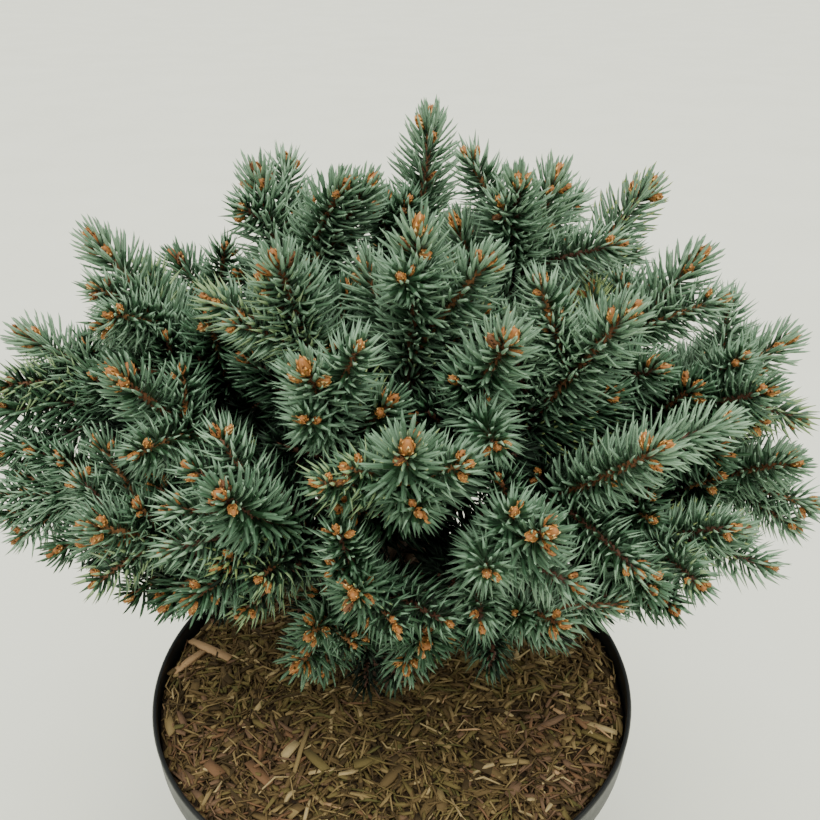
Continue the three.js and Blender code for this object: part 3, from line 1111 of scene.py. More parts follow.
@dataclass
class FinerGrowth:
    """What the rule is carried on to: fine twigs, the photo's smaller shoots, and tufts.

    Ranges hold the least and the most that is drawn, and angles are in degrees. Gaps are kept
    between a new tip and the marks of the shoots that are there.
    """

    rule: GrowthRule
    shortest: float = 9.0
    bearer: float = 26.0
    bend: float = 0.045
    sprig_foot: Pair = (0.35, 0.66)
    sprig_tilt: Pair = (38.0, 55.0)
    sprig_length: Pair = (12.0, 17.0)
    sprig_gap: float = 7.5
    inner_tilt: Pair = (40.0, 72.0)
    inner_length: Pair = (16.0, 27.0)
    inner_gap: float = 5.0
    seen_room: float = 13.0
    seen_reach: float = 4.0
    seen_lean: float = 0.85
    seen_top: float = 0.8
    seen_rise: float = 0.03
    hollow_angle: float = 7.5
    tuft_tries: int = 160
    tuft_angle: Pair = (6.0, 42.0)
    tuft_tilt: Pair = (34.0, 70.0)
    tuft_out: Pair = (0.66, 0.95)
    tuft_gaps: Pair = (15.0, 12.5)
    tuft_length: Pair = (13.0, 56.0)
    tuft_margin: float = 3.0
    tuft_bend: float = 0.02
    front_gap: float = 7.0
    front: float = 80.0
    longest_tuft: float = 38.0

    def masses(self) -> list[Mass]:
        """Every mass of the crown with all its shoots."""
        found = self.rule.masses()
        for mass in found:
            self.carry_on(mass)
        marks = self.place_seen(found)
        for mass in found:
            if not mass.low:
                self.fill(mass, marks)
        return found

    def add_twig(self, mass: Mass, shoot: Shoot, kind: ShootKind, gap: float) -> None:
        """Adds a fine twig to a mass if it isn't too short and keeps clear of the others.

        Args:
            mass: the mass.
            shoot: the twig, as long as the room allows.
            kind: what the twig is.
            gap: the distance that its tip keeps.
        """
        marks = np.array([mark for other in mass.shoots for mark in other.marks(0.6)])
        if shoot.length > self.shortest and (np.linalg.norm(marks - shoot.tip, axis=1) > gap).all():
            shoot.kind = kind
            mass.shoots.append(shoot)

    def inner_spacing(self, mass: Mass) -> float:
        """How far apart inner twigs leave a stem: closest where the photo shows dark depth.

        Args:
            mass: the mass.

        Returns:
            The distance along the stem.
        """
        if mass.low:
            return 2.5
        if -150 < mass.plan.bearing < -50 and mass.plan.rise < 45:
            return 1.8
        return 3 if -112 < mass.plan.bearing < 80 else 4

    def carry_on(self, mass: Mass) -> None:
        """Adds sprigs on the long shoots and inner twigs low on the stem, then bends them all.

        Args:
            mass: the mass, whose list of shoots is added to.
        """
        random = mass.random(Draws.FINE_TWIGS)
        stem = mass.shoots[0].base - mass.start
        span = float(np.linalg.norm(stem))
        bearers = [s for s in mass.shoots if s.kind is ShootKind.LEADING or s.length > self.bearer]
        for shoot in [] if mass.low else bearers:
            base = shoot.base + shoot.way * shoot.length * random.uniform(*self.sprig_foot)
            tilt, length = random.uniform(*self.sprig_tilt), random.uniform(*self.sprig_length)
            found = self.rule.side_shoot(mass, base, random.uniform(0, LOOSE_TURN), tilt, length)
            self.add_twig(mass, found, ShootKind.SPRIG, self.sprig_gap)
        for k in range(max(3, round(span / self.inner_spacing(mass)))):
            base = mass.start + stem * random.uniform(0.02, 0.7 if mass.low else 0.9)
            tilt = random.uniform(*self.inner_tilt)
            roll = k * GOLDEN_ANGLE + random.uniform(0, 1)
            found = self.rule.side_shoot(mass, base, roll, tilt, random.uniform(*self.inner_length))
            self.add_twig(mass, found, ShootKind.INNER, self.inner_gap)
        for shoot in mass.shoots:
            side = spoke(*across(shoot.way), random.uniform(0, LOOSE_TURN))
            shoot.bend = side * random.uniform(0, self.bend) * shoot.length
        mass.shoots.append(Shoot(mass.start, stem / span, span, ShootKind.STEM))

    def place_seen(self, masses: list[Mass]) -> list[Array]:
        """Adds the smaller shoots that the photo shows, each on the stem of the mass it is in.

        Side shoots and sprigs whose tips would crowd them, or fill a hollow, give way.

        Args:
            masses: every mass of the crown, whose lists of shoots are changed.

        Returns:
            The marks of all shoots, which further ones keep clear of.
        """
        tips = np.array([HUB + seen.way() * seen.out for seen in SEEN_TIPS])

        def stays(shoot: Shoot) -> bool:
            """Whether a shoot has room beside the seen ones. Only side shoots and sprigs need it."""
            room = np.linalg.norm(tips - shoot.tip, axis=1).min()
            fits = room > self.seen_room and not self.in_hollow(shoot.tip)
            return fits or shoot.kind not in (ShootKind.SIDE, ShootKind.SPRIG)

        for mass in masses:
            mass.shoots = [shoot for shoot in mass.shoots if stays(shoot)]
        for seen, tip in zip(SEEN_TIPS, tips):
            near = [mass for mass in masses if mass.plan.reach > seen.out - self.seen_reach]
            mass = max(near, key=lambda mass: mass.plan.axis() @ seen.way())
            axis = mass.plan.axis()
            along = float((tip - HUB) @ axis)
            aside = math.sqrt(max(seen.out**2 - along**2, 0))
            run = along - max(math.sqrt(max(seen.length**2 - aside**2, 0)), self.seen_lean * aside)
            run = min(run, self.seen_top * mass.plan.reach)
            base = HUB + axis * max(run, float((mass.start - HUB) @ axis) + 2)
            length = float(np.linalg.norm(tip - base))
            self.insert(mass, base, tip, self.seen_rise * length * UP, seen.length)
        return [mark for mass in masses for shoot in mass.shoots[:-1] for mark in shoot.marks(0.55)]

    def insert(self, mass: Mass, base: Array, tip: Array, bend: Array, seen: float = 0.0) -> None:
        """Adds a shoot before its mass's stem: a tuft, or a side shoot if it is long.

        Args:
            mass: the mass.
            base: where it starts.
            tip: where it ends.
            bend: how far its middle is pushed aside.
            seen: its length in the photo, or 0.
        """
        length = float(np.linalg.norm(tip - base))
        kind = ShootKind.TUFT if length < self.longest_tuft else ShootKind.SIDE
        mass.shoots.insert(-1, Shoot(base, (tip - base) / length, length, kind, bend, seen))

    def fill(self, mass: Mass, marks: list[Array]) -> None:
        """Fills the space between the long shoots with tufts, wherever a tip finds room.

        A tip is tried at a random turn, angle and distance from the hub within the mass's space,
        and its twig leaves the mass's own stem behind it. A tip that would hang lower than the
        mass, more so at the front, is left out.

        Args:
            mass: the mass, whose list of shoots is added to.
            marks: points that the tufts' tips keep clear of, which is added to.
        """
        random = mass.random(Draws.TUFTS)
        axis = mass.plan.axis()
        u, v = across(axis)
        low = float((mass.start - HUB) @ axis)
        front = abs(mass.plan.bearing) < self.front
        gap = self.tuft_gaps[int(mass.plan.rise < 40)] + (self.front_gap if front else 0.0)
        least_out, most_out = self.tuft_out
        most_out -= 0.11 * max(axis[2] - 0.55, 0) / 0.4
        shortest, longest = self.tuft_length
        for _ in range(self.tuft_tries):
            side = spoke(u, v, random.uniform(0, LOOSE_TURN))
            angle = math.radians(random.uniform(*self.tuft_angle))
            out = mass.plan.reach * random.uniform(least_out, most_out)
            tip = HUB + spoke(axis, side, angle) * out
            tilt = math.radians(random.uniform(*self.tuft_tilt))
            run = out * (math.cos(angle) - math.sin(angle) / math.tan(tilt))
            base = HUB + axis * max(run, low + 3)
            length = float(np.linalg.norm(tip - base))
            inside = (mass.normals @ tip - mass.offsets).min() >= self.tuft_margin
            hangs = tip[2] < HUB[2] + axis[2] * out - (9 if front else 42)
            if hangs or not inside or not shortest < length < longest or self.in_hollow(tip):
                continue
            if np.linalg.norm(np.array(marks) - tip, axis=1).min() < gap:
                continue
            marks += [tip, base + (tip - base) * 0.6]
            bend = np.cross(unit(tip - base), side) * random.normal(0, self.tuft_bend) * length
            self.insert(mass, base, tip, bend)

    def in_hollow(self, tip: Array) -> bool:
        """Whether a tip is in one of the dark hollows that the photo shows."""
        return bool((HOLLOWS @ unit(tip - HUB)).max() > math.cos(math.radians(self.hollow_angle)))


# Needles


class NeedleTint(Tints):
    """The plain colours that sprays of needles are dealt, from the most frosted to the darkest.

    They are partly the needles' own bloom and greener colour, and partly lit and shaded copies of one
    blue-green: painted light in the frosted ones and painted shade in the darker ones.
    """

    FROST = ((136, 168, 137), 0.42, 0.5, 0.05)
    POWDER = ((112, 145, 116), 0.42, 0.5, 0.05)
    SLATE = ((88, 121, 93), 0.42, 0.5, 0.03)
    SPRUCE = ((67, 101, 73), 0.44, 0.5)
    FOREST = ((48, 82, 52), 0.5, 0.4)
    SHADE = ((29, 53, 33), 0.55, 0.3)
    DEEP = ((16, 32, 20), 0.6, 0.2)
    PALE_TIP = ((140, 164, 116), 0.5, 0.4)
    LIME_TIP = ((138, 156, 96), 0.5, 0.4)


DARKEST = NeedleTint.DEEP.number


@dataclass(frozen=True)
class NeedleHabit:
    """How the needles of one kind of shoot stand.

    They have a number for each millimetre, a length, a first angle in degrees and how many tints
    darker they are, which is painted shade deep in the crown. Each ring is a share of the length
    and of the full width.
    """

    per_mm: float
    length: float
    spread: float
    darker: int
    rings: tuple[Pair, ...] = ((0.0, 0.72), (0.5, 1.0))


# The rings of the longest needles, which stay broad for longer
FULL_NEEDLE = ((0.0, 0.7), (0.45, 1.0), (0.85, 0.74))
# Inner shoots are dealt tints three darker and stems four darker: painted shade.
NEEDLE_HABITS = {
    ShootKind.LEADING: NeedleHabit(4.5, 15.2, 78, 0, FULL_NEEDLE),
    ShootKind.SIDE: NeedleHabit(4.3, 14.0, 75, 0, FULL_NEEDLE),
    ShootKind.SPRIG: NeedleHabit(4.1, 11.8, 72, 0),
    ShootKind.TUFT: NeedleHabit(4.2, 13.0, 77, 0),
    ShootKind.INNER: NeedleHabit(3.2, 13.4, 72, 3),
    ShootKind.STEM: NeedleHabit(1.1, 12.0, 76, 4),
}


@dataclass
class NeedleRow:
    """One shoot's needles, with arrays that hold a row for each needle.

    They start at root. The shoot runs ahead there and side points straight out of it, lift is
    added to a needle's direction, and spread is its first angle from the shoot in degrees.
    """

    root: Array
    ahead: Array
    side: Array
    lift: Array
    spread: Array
    length: Array
    rings: tuple[Pair, ...]
    stout: float
    tints: tuple[int, int]


@dataclass
class NeedleCoat(Piecework):
    """The needles of the whole crown: three-sided, keeled, curved forward, and pointed.

    The fields for colour hold a gain, and the start and the run of what brings it: the height of
    a tip, how far out it is in its mass, how far right it is, and how near the crown's top. Each
    makes the tints paler, which is painted light, and shoots without them keep darker tints, which
    is painted shade. A tip that hangs below the first and in front of the second of the hanging
    values is lit as well.
    Pale and yellowed are chances, and mixed is the share of needles that are a tint darker.
    """

    masses: list[Mass]
    half_width: float = 0.62
    half_depth: float = 0.46
    sink: float = 0.3
    curve: float = 36.0
    tip_start: Pair = (0.7, 0.3)
    tip_closing: float = 46.0
    seen_full: float = 32.0
    lit_high: Triple = (0.55, 190.0, 130.0)
    lit_outside: Triple = (0.5, 0.68, 0.26)
    paler_right: Pair = (0.8, 110.0)
    paler_top: Triple = (0.6, 295.0, 45.0)
    darkest_level: float = 3.4
    lit_levels: float = 3.0
    hanging: Pair = (226.0, -50.0)
    yellowed: float = 0.15
    pale: float = 0.1
    mixed: float = 0.22

    def build(self) -> None:
        """Makes one piece of needles for each region of the crown."""
        materials = NeedleTint.materials()
        for region in Region:
            masses = [mass for mass in self.masses if mass.region is region]
            self.parts = MeshParts()
            for mass in masses:
                self.random = mass.random(Draws.NEEDLES)
                for shoot in mass.shoots:
                    self.dress(mass, shoot)
            piece = self.parts.build(f"needles_{region.value}", materials)
            finish_piece(piece, [mass.node for mass in masses])

    def tint_of(self, mass: Mass, shoot: Shoot) -> tuple[int, int]:
        """The colours of a shoot: paler high, outside, right and near the top, darker low and inside.

        This is mostly painted light and painted shade, with some of the needles' own bloom and greener
        colour.

        Args:
            mass: the shoot's mass.
            shoot: the shoot.

        Returns:
            The tint's number and the number of the tint of the needles' points.
        """
        x, y, z = shoot.tip
        out = float(np.linalg.norm(shoot.tip - HUB)) / mass.plan.reach
        lit = gain(z, *self.lit_high) + gain(out, *self.lit_outside)
        # Shoots further right, and those near the crown's top, are dealt paler tints: painted light.
        most, reach = self.paler_right
        paler = most * float(np.clip(x / reach, -1, 1))
        # Seen, low and leading shoots are dealt a paler tint and all others a darker one: painted light and
        # painted shade.
        shown = shoot.seen > 0 or mass.low or shoot.kind is ShootKind.LEADING
        level = self.darkest_level - self.lit_levels * lit - paler - gain(z, *self.paler_top)
        level = level + (-0.35 if shown else 0.45) + self.random.normal(0, 0.5)
        # Inner shoots and stems are dealt darker tints, painted shade, which fades near the top and on tips
        # that hang low in front, where they are lit.
        hangs = z < self.hanging[0] and y < self.hanging[1]
        top = 1.0 if hangs else float(progress(z, 245, 60))
        darker = NEEDLE_HABITS[shoot.kind].darker
        tint = int(np.clip(round(level), 0, 4)) + round(darker * lerp(1, 0.4, top))
        tint = min(tint, DARKEST)
        # The needles' points are a tint paler than the shoot: a painted highlight.
        tip = max(tint - 1, 0) if tint < NeedleTint.SHADE.number else tint
        chance = self.random.random()
        if darker == 0 and chance < self.yellowed:
            tip = (NeedleTint.PALE_TIP if chance < self.pale else NeedleTint.LIME_TIP).number
        return tint, tip

    def dress(self, mass: Mass, shoot: Shoot) -> None:
        """Adds the needles of one shoot, set round it in a spiral.

        A needle's middle line starts at the spread angle from the shoot and turns forward evenly
        along its length, by numbers worked out for all the shoot's needles at once.

        Args:
            mass: the shoot's mass.
            shoot: the shoot.
        """
        habit = NEEDLE_HABITS[shoot.kind]
        count = int(shoot.length * habit.per_mm * lerp(0.84, 1.0, mass.vigour))
        if count < 1:
            return
        order = np.arange(count)
        share = (order + 0.5 + self.random.uniform(-0.4, 0.4, count)) / count
        stem = shoot.kind is ShootKind.STEM
        if not stem:
            share = 0.02 + 0.965 * share
        turn = order * GOLDEN_ANGLE + self.random.normal(0, 0.1, count)
        ahead = shoot.tangents(share)
        u, _ = across(shoot.way)
        u = unit(u - ahead * np.sum(ahead * u, axis=1, keepdims=True))
        side = u * np.cos(turn)[:, None] + np.cross(ahead, u) * np.sin(turn)[:, None]
        near_tip = 0 * share if stem else progress(share, *self.tip_start)
        spread = habit.spread + 6 * (1 - share) - self.tip_closing * near_tip**1.4
        spread = spread + self.random.normal(0, 4.8, count)
        size = 1 if stem else lerp(0.74, 1.0, mass.vigour)
        if shoot.seen:
            size = lerp(0.7, 1.0, min(shoot.seen / self.seen_full, 1))
        length = habit.length * size * (0.84 + 0.16 * np.sin(np.pi * np.clip(share * 1.15, 0, 1)))
        length *= (1 - 0.2 * near_tip**2) * self.random.uniform(0.86, 1.08, count)
        tints = self.tint_of(mass, shoot)
        lift = 0.12 * UP + self.random.normal(0, 0.045, (count, 3))
        root = shoot.points(share) + side * self.sink
        stout = lerp(0.82, 1.0, mass.vigour)
        row = NeedleRow(root, ahead, side, lift, spread, length, habit.rings, stout, tints)
        self.needles(row)

    def lines(self, row: NeedleRow) -> Array:
        """The middle lines of needles: each stretch turns further forward than the last.

        Args:
            row: the shoot's needles.

        Returns:
            For each stop on the line, one point for each needle.
        """
        stops = [share for share, _ in row.rings] + [1.0]
        bend = self.curve * self.random.uniform(0.4, 1.3, len(row.root))
        centres = [row.root]
        for a, b in itertools.pairwise(stops):
            angle = np.radians(row.spread - bend * (a + b) / 2)[:, None]
            way = unit(row.ahead * np.cos(angle) + row.side * np.sin(angle) + row.lift)
            centres.append(centres[-1] + way * (row.length * (b - a))[:, None])
        return np.array(centres)

    def needles(self, row: NeedleRow) -> None:
        """Adds needles along their middle lines, with a keel on the side that faces the tip.

        Their undersides and their feet are darker, which is painted shade, and some of them are a
        tint darker than the rest.

        Args:
            row: the shoot's needles.
        """
        lines = self.lines(row)
        count, rings = lines.shape[1], len(row.rings)
        steps = unit(np.diff(lines, axis=0))
        roll = self.random.normal(0, 0.5, count)[:, None]
        broad = np.cross(row.ahead, row.side)
        sections = []
        for k, (_, width) in enumerate(row.rings):
            way = steps[k] if k == 0 else unit(steps[k - 1] + steps[k])
            flat = unit(broad - way * np.sum(broad * way, axis=1, keepdims=True))
            high = np.cross(flat, way)
            flat, high = rolled(flat, high, roll)
            flat = flat * self.half_width * width * row.stout
            high = high * self.half_depth * width * row.stout
            corners = [lines[k] - flat - high * 0.5, lines[k] + flat - high * 0.5, lines[k] + high]
            sections.append(np.stack(corners, axis=1))
        points = np.concatenate([*sections, lines[-1][:, None]], axis=1)
        top = 3 * (rings - 1)
        ends = np.array([[top, top + 1, top + 3], [top + 1, top + 2, top + 3], [top + 2, top, top + 3]])
        kinds = (grid_faces(rings, 3), ends, np.array([[2, 1, 0]]))
        sets = [repeat_faces(faces, count, 3 * rings + 1) for faces in kinds]
        tint, tip = row.tints
        own = np.minimum(tint + (self.random.random(count) < self.mixed), DARKEST)
        # Undersides are a tint darker and feet one to three tints darker: painted shade.
        low, lower = np.minimum(own + 1, DARKEST), np.minimum(own + 3, DARKEST)
        quads = [lower, low, low] + [low, own, own] * (rings - 2)
        tips = [low, np.full(count, tip), np.full(count, tip)]
        self.parts.add(points, sets, [np.stack(quads, axis=1).ravel(), np.stack(tips, axis=1).ravel(), lower])


# Buds


class BudTint(Tints):
    """The plain colours of bud scales."""

    OCHRE = ((204, 145, 73), 0.5, 0.45)
    AMBER = ((228, 172, 94), 0.5, 0.45)
    RUST = ((164, 108, 58), 0.55, 0.4)
    CHESTNUT = ((112, 74, 46), 0.6, 0.35)
    STRAW = ((240, 202, 134), 0.6, 0.4)


@dataclass(frozen=True)
class BudHabit:
    """The buds of one kind of shoot: their size, and how many stand beside its tip and along it.

    The numbers are drawn from the first up to, and without, the second.
    """

    size: float
    beside: tuple[int, int]
    along: tuple[int, int]


BUD_HABITS = {
    ShootKind.LEADING: BudHabit(1.12, (2, 4), (0, 2)),
    ShootKind.SIDE: BudHabit(0.95, (0, 3), (0, 1)),
    ShootKind.SPRIG: BudHabit(0.72, (0, 2), (0, 1)),
    ShootKind.TUFT: BudHabit(0.8, (0, 2), (0, 1)),
}


@dataclass
class BudClusters(Piecework):
    """Scaly ovate buds: one at each shoot's tip, a few round it, and some along long shoots.

    The profile has shares of the length and of the radius, and each whorl of scales a share of
    the length and a number. The main shares deal out a bud's own tint, high_change is what they
    change by high in the crown, darker high up and paler low down, which is painted light on the
    low buds, and the edge shares deal out the tints of scales that differ.
    """

    masses: list[Mass]
    length: float = 4.9
    radius: float = 1.62
    sides: int = 7
    profile: tuple[Pair, ...] = ((0.0, 0.6), (0.28, 1.0), (0.6, 0.84), (0.88, 0.42))
    whorls: tuple[tuple[float, int], ...] = ((0.02, 6), (0.24, 6), (0.46, 5), (0.66, 4))
    whorl_turn: float = 0.37
    seen_beside: tuple[int, int] = (1, 3)
    main_shares: Shares = (0.36, 0.44, 0.08, 0.02, 0.1)
    high_change: Shares = (0.0, -0.2, 0.16, 0.06, -0.02)
    edge_shares: Shares = (0.26, 0.24, 0.2, 0.08, 0.22)

    def build(self) -> None:
        """Makes all the buds as one piece."""
        self.parts = MeshParts()
        for mass in self.masses:
            self.random = mass.random(Draws.BUDS)
            for shoot in mass.shoots:
                if shoot.kind in BUD_HABITS:
                    self.cluster(shoot, lerp(0.86, 1.12, mass.vigour))
        finish_piece(self.parts.build("buds", BudTint.materials()))

    def cluster(self, shoot: Shoot, vigour: float) -> None:
        """Adds the buds of one shoot.

        Args:
            shoot: the shoot.
            vigour: a factor of the buds' size.
        """
        habit = BUD_HABITS[shoot.kind]
        size = habit.size * vigour
        u, v = across(shoot.way)
        turn = self.random.uniform(0, LOOSE_TURN)
        self.bud(shoot.tip - shoot.way * 0.8, shoot.way, size * self.random.uniform(0.95, 1.15))
        count = int(self.random.integers(*(self.seen_beside if shoot.seen else habit.beside)))
        spots = []
        for k in range(count):
            back = self.random.uniform(2, 5) * size / shoot.length
            spots.append((turn + k * LOOSE_TURN / count, 1 - back))
        for k in range(int(self.random.integers(*habit.along))):
            spots.append((turn + 1 + k * GOLDEN_ANGLE, self.random.uniform(0.4, 0.8)))
        for roll, share in spots:
            side = spoke(u, v, roll + self.random.normal(0, 0.3))
            way = spoke(shoot.way, side, math.radians(self.random.uniform(36, 60)))
            at = shoot.points(np.array([share]))[0] + side * 0.6
            self.bud(at + way * 1.5, way, size * self.random.uniform(0.74, 0.98))

    def bud(self, at: Array, way: Array, size: float) -> None:
        """Adds one bud: a turned ovate core, and whorls of scales that stand out of it.

        A scale has four corners: two at its foot on the core, one sunk behind it, and its tip,
        which is higher and further out.

        Args:
            at: where its foot is.
            way: the direction that it points in.
            size: a factor of its size.
        """
        shares, widths = np.array(self.profile).T
        length = self.length * size * self.random.uniform(0.88, 1.15)
        radius = self.radius * size
        # Buds low in the crown are dealt paler tints than those high up: painted light.
        high = float(progress(at[2], 190, 130))
        tints = np.array(self.main_shares) + high * np.array(self.high_change)
        main = int(self.random.choice(len(BudTint), p=tints))
        core, faces = tube(at + np.outer(shares * length, way), widths * radius, self.sides)
        core[-1] += way * length * 0.1
        dark = main if main == BudTint.CHESTNUT.number else BudTint.RUST.number
        self.parts.add(core, faces, [np.full(len(f), dark) for f in faces])
        rows = [
            (share, k / number + whorl * self.whorl_turn)
            for whorl, (share, number) in enumerate(self.whorls)
            for k in range(number)
        ]
        foot, place = np.array(rows).T
        count = len(foot)
        turn = place * FULL_TURN + self.random.uniform(0, LOOSE_TURN)
        reach = self.random.uniform(0.3, 0.4, count)
        half = self.random.uniform(0.36, 0.5, count) * (1 - 0.2 * foot)
        tip_out = self.random.uniform(1.0, 1.22, count)
        corners = []
        sunk, tip = (0, reach * 0.5, 0.75), (0, reach, tip_out)
        for shift, rise, out in ((-1, 0.0, 1.02), (1, 0.0, 1.02), sunk, tip):
            wide = np.interp(foot + rise * 0.6, shares, widths) * radius * out
            round_it = spokes(*across(way), turn + shift * half) * wide[:, None]
            corners.append(at + np.outer((foot + rise) * length, way) + round_it)
        scale_faces = np.array([[0, 1, 3], [1, 2, 3], [2, 0, 3], [0, 2, 1]])
        edge = self.random.choice(len(BudTint), count, p=self.edge_shares)
        own = np.where(self.random.random(count) < 0.5, main, edge)
        self.parts.add(np.stack(corners, axis=1), [repeat_faces(scale_faces, count, 4)], [np.repeat(own, 4)])


# Twigs and limbs


class TwigTint(Tints):
    """The plain colours of young twigs."""

    COPPER = ((112, 74, 47), 0.6, 0.4)
    GINGER = ((136, 96, 60), 0.6, 0.4)
    RUSSET = ((82, 52, 37), 0.65, 0.4)
    OLD = ((66, 47, 35), 0.8, 0.3)


# The radius of each kind of twig at its foot
TWIG_RADII = {
    ShootKind.LEADING: 1.45,
    ShootKind.SIDE: 1.3,
    ShootKind.SPRIG: 1.05,
    ShootKind.TUFT: 1.05,
    ShootKind.INNER: 1.0,
    ShootKind.STEM: 1.9,
}


@dataclass
class Twigs(Piecework):
    """The twigs under the needles: slim tubes, rough with the pegs that needles stand on."""

    masses: list[Mass]
    sides: int = 6
    step: float = 1.7
    taper: float = 0.28
    pegs: Pair = (0.2, -0.08)
    worn: float = 0.4
    young_shares: Shares = (0.5, 0.25, 0.25)

    def build(self) -> None:
        """Makes all the twigs as one piece."""
        self.parts = MeshParts()
        for mass in self.masses:
            self.random = mass.random(Draws.TWIG_COLOURS)
            for shoot in mass.shoots:
                tint = TwigTint.OLD.number
                if shoot.kind is not ShootKind.STEM:
                    tint = int(self.random.choice(len(self.young_shares), p=self.young_shares))
                if shoot.kind is ShootKind.INNER:
                    tint = TwigTint.RUSSET.number
                self.twig(mass, shoot, tint)
        finish_piece(self.parts.build("twigs", TwigTint.materials()))

    def twig(self, mass: Mass, shoot: Shoot, tint: int) -> None:
        """Adds one twig: a tapering tube whose pegs stand out on every other point.

        Args:
            mass: the shoot's mass.
            shoot: the shoot.
            tint: the number of its tint.
        """
        old = shoot.kind is ShootKind.STEM
        coarse = shoot.kind in (ShootKind.TUFT, ShootKind.INNER)
        share = np.linspace(0, 1, max(4, int(shoot.length / self.step / (2 if coarse else 1))))
        centres = shoot.points(share)
        if old and mass.bough is not None:
            join = HUB + mass.bough * (mass.run - 3)
            centres = np.vstack([join, centres])
            share = np.append(0, share)
        radii = TWIG_RADII[shoot.kind] * (1 - self.taper * share)
        i, j = np.meshgrid(np.arange(len(share)), np.arange(self.sides), indexing="ij")
        swell = 1 + np.where((i + j) % 2 == 0, *self.pegs) * (self.worn if old else 1)
        points, faces = tube(centres, radii, self.sides, swell)
        self.parts.add(points, faces, [np.full(len(f), tint) for f in faces])


@dataclass
class BarkedLimbs(Piecework):
    """The trunk with its root flare, and the boughs, with the relief of their bark."""

    rule: GrowthRule
    trunk_sides: int = 36
    trunk_rings: int = 110
    flare_height: float = 12.0
    bough_sides: int = 14
    bough_rings: int = 40
    bough_root: float = 2.9
    bough_tip: float = 2.1
    knee_run: float = 30.0
    relief: float = 0.5
    bough_relief: float = 0.275
    smoothing: tuple[int, ...] = (1, 2, 3, 4, 3, 2, 1)

    def build(self) -> None:
        """Makes the trunk and all the boughs as one piece."""
        self.parts = MeshParts()
        self.trunk()
        for plan in CROWN_PLAN:
            self.limb(plan)
        piece = self.parts.build("trunk_and_boughs", [LIMB_BARK.material()])
        piece.data.shade_smooth()
        finish_piece(piece, ["trunk", *[f"bough_{plan.name}" for plan in CROWN_PLAN]])

    def add_rough(self, centres: Array, mesh: Mesh, relief: float) -> None:
        """Adds a tube whose points are moved in and out: long cracks between raised scales.

        Args:
            centres: its middle line.
            mesh: its points, the two ends' last, and its faces.
            relief: the depth of the bark.
        """
        points, faces = mesh
        body, ends = points[:-2], points[-2:]
        out = unit(body - np.repeat(centres, len(body) // len(centres), axis=0))
        cracks = 1 - np.abs(smooth_noise(body * np.array([1.0, 1.0, 0.55]), 2.6, 3)) * 2
        fine = smooth_noise(body, 1.1, 5)
        moved = body + out * (relief * (0.7 * cracks.clip(-1, 1) + 0.35 * fine))[:, None]
        self.parts.add(np.concatenate([moved, ends]), faces)

    def trunk(self) -> None:
        """Adds the trunk, flared at its foot and tapering up to the leader."""
        line = self.rule.trunk
        foot, top = line.ground + GAP - 1.5, HUB[2] + line.run
        knots = [
            (foot, line.foot_radius),
            (foot + 6, (line.foot_radius + line.neck_radius) / 2),
            (foot + line.neck_height, line.neck_radius),
            (foot + 36, (line.neck_radius + line.fork_radius) / 2),
            (HUB[2], line.fork_radius),
            ((HUB[2] + top) / 2, (line.fork_radius + line.tip_radius) / 2),
            (top, line.tip_radius),
        ]
        heights = np.linspace(foot, top, self.trunk_rings)
        centres = np.array([line.at(height) for height in heights])
        lobes = np.cos(3 * even_turns(self.trunk_sides) + 0.6)
        fade = 1 - progress(heights, foot, self.flare_height)
        swell = 1 + line.flare * fade[:, None] * lobes
        mesh = tube(centres, np.interp(heights, *np.array(knots).T), self.trunk_sides, swell)
        self.add_rough(centres, mesh, self.relief)

    def limb(self, plan: BoughPlan) -> None:
        """Adds one bough, on a smooth curve through the source's four points.

        Args:
            plan: the bough's plan.
        """
        way, run = plan.way(), self.rule.bough_run(plan)
        start = self.rule.trunk.at(plan.root)
        knee = HUB + way * min(self.knee_run, run * 0.8)
        tip = HUB + way * run
        share = np.linspace(0, 1, self.bough_rings)[:, None]
        first = start + (knee - start) * np.minimum(share * 2, 1)
        second = knee + (tip - knee) * np.maximum(share * 2 - 1, 0)
        corner = np.where(share < 0.5, first, second)
        kernel = np.array(self.smoothing) / sum(self.smoothing)
        reach = len(kernel) // 2
        padded = np.pad(corner, ((reach, reach), (0, 0)), mode="reflect", reflect_type="odd")
        centres = np.stack([np.convolve(line, kernel, "valid") for line in padded.T], axis=1)
        radii = np.linspace(self.bough_root, self.bough_tip, len(centres))
        self.add_rough(centres, tube(centres, radii, self.bough_sides), self.bough_relief)


# Pot and filling


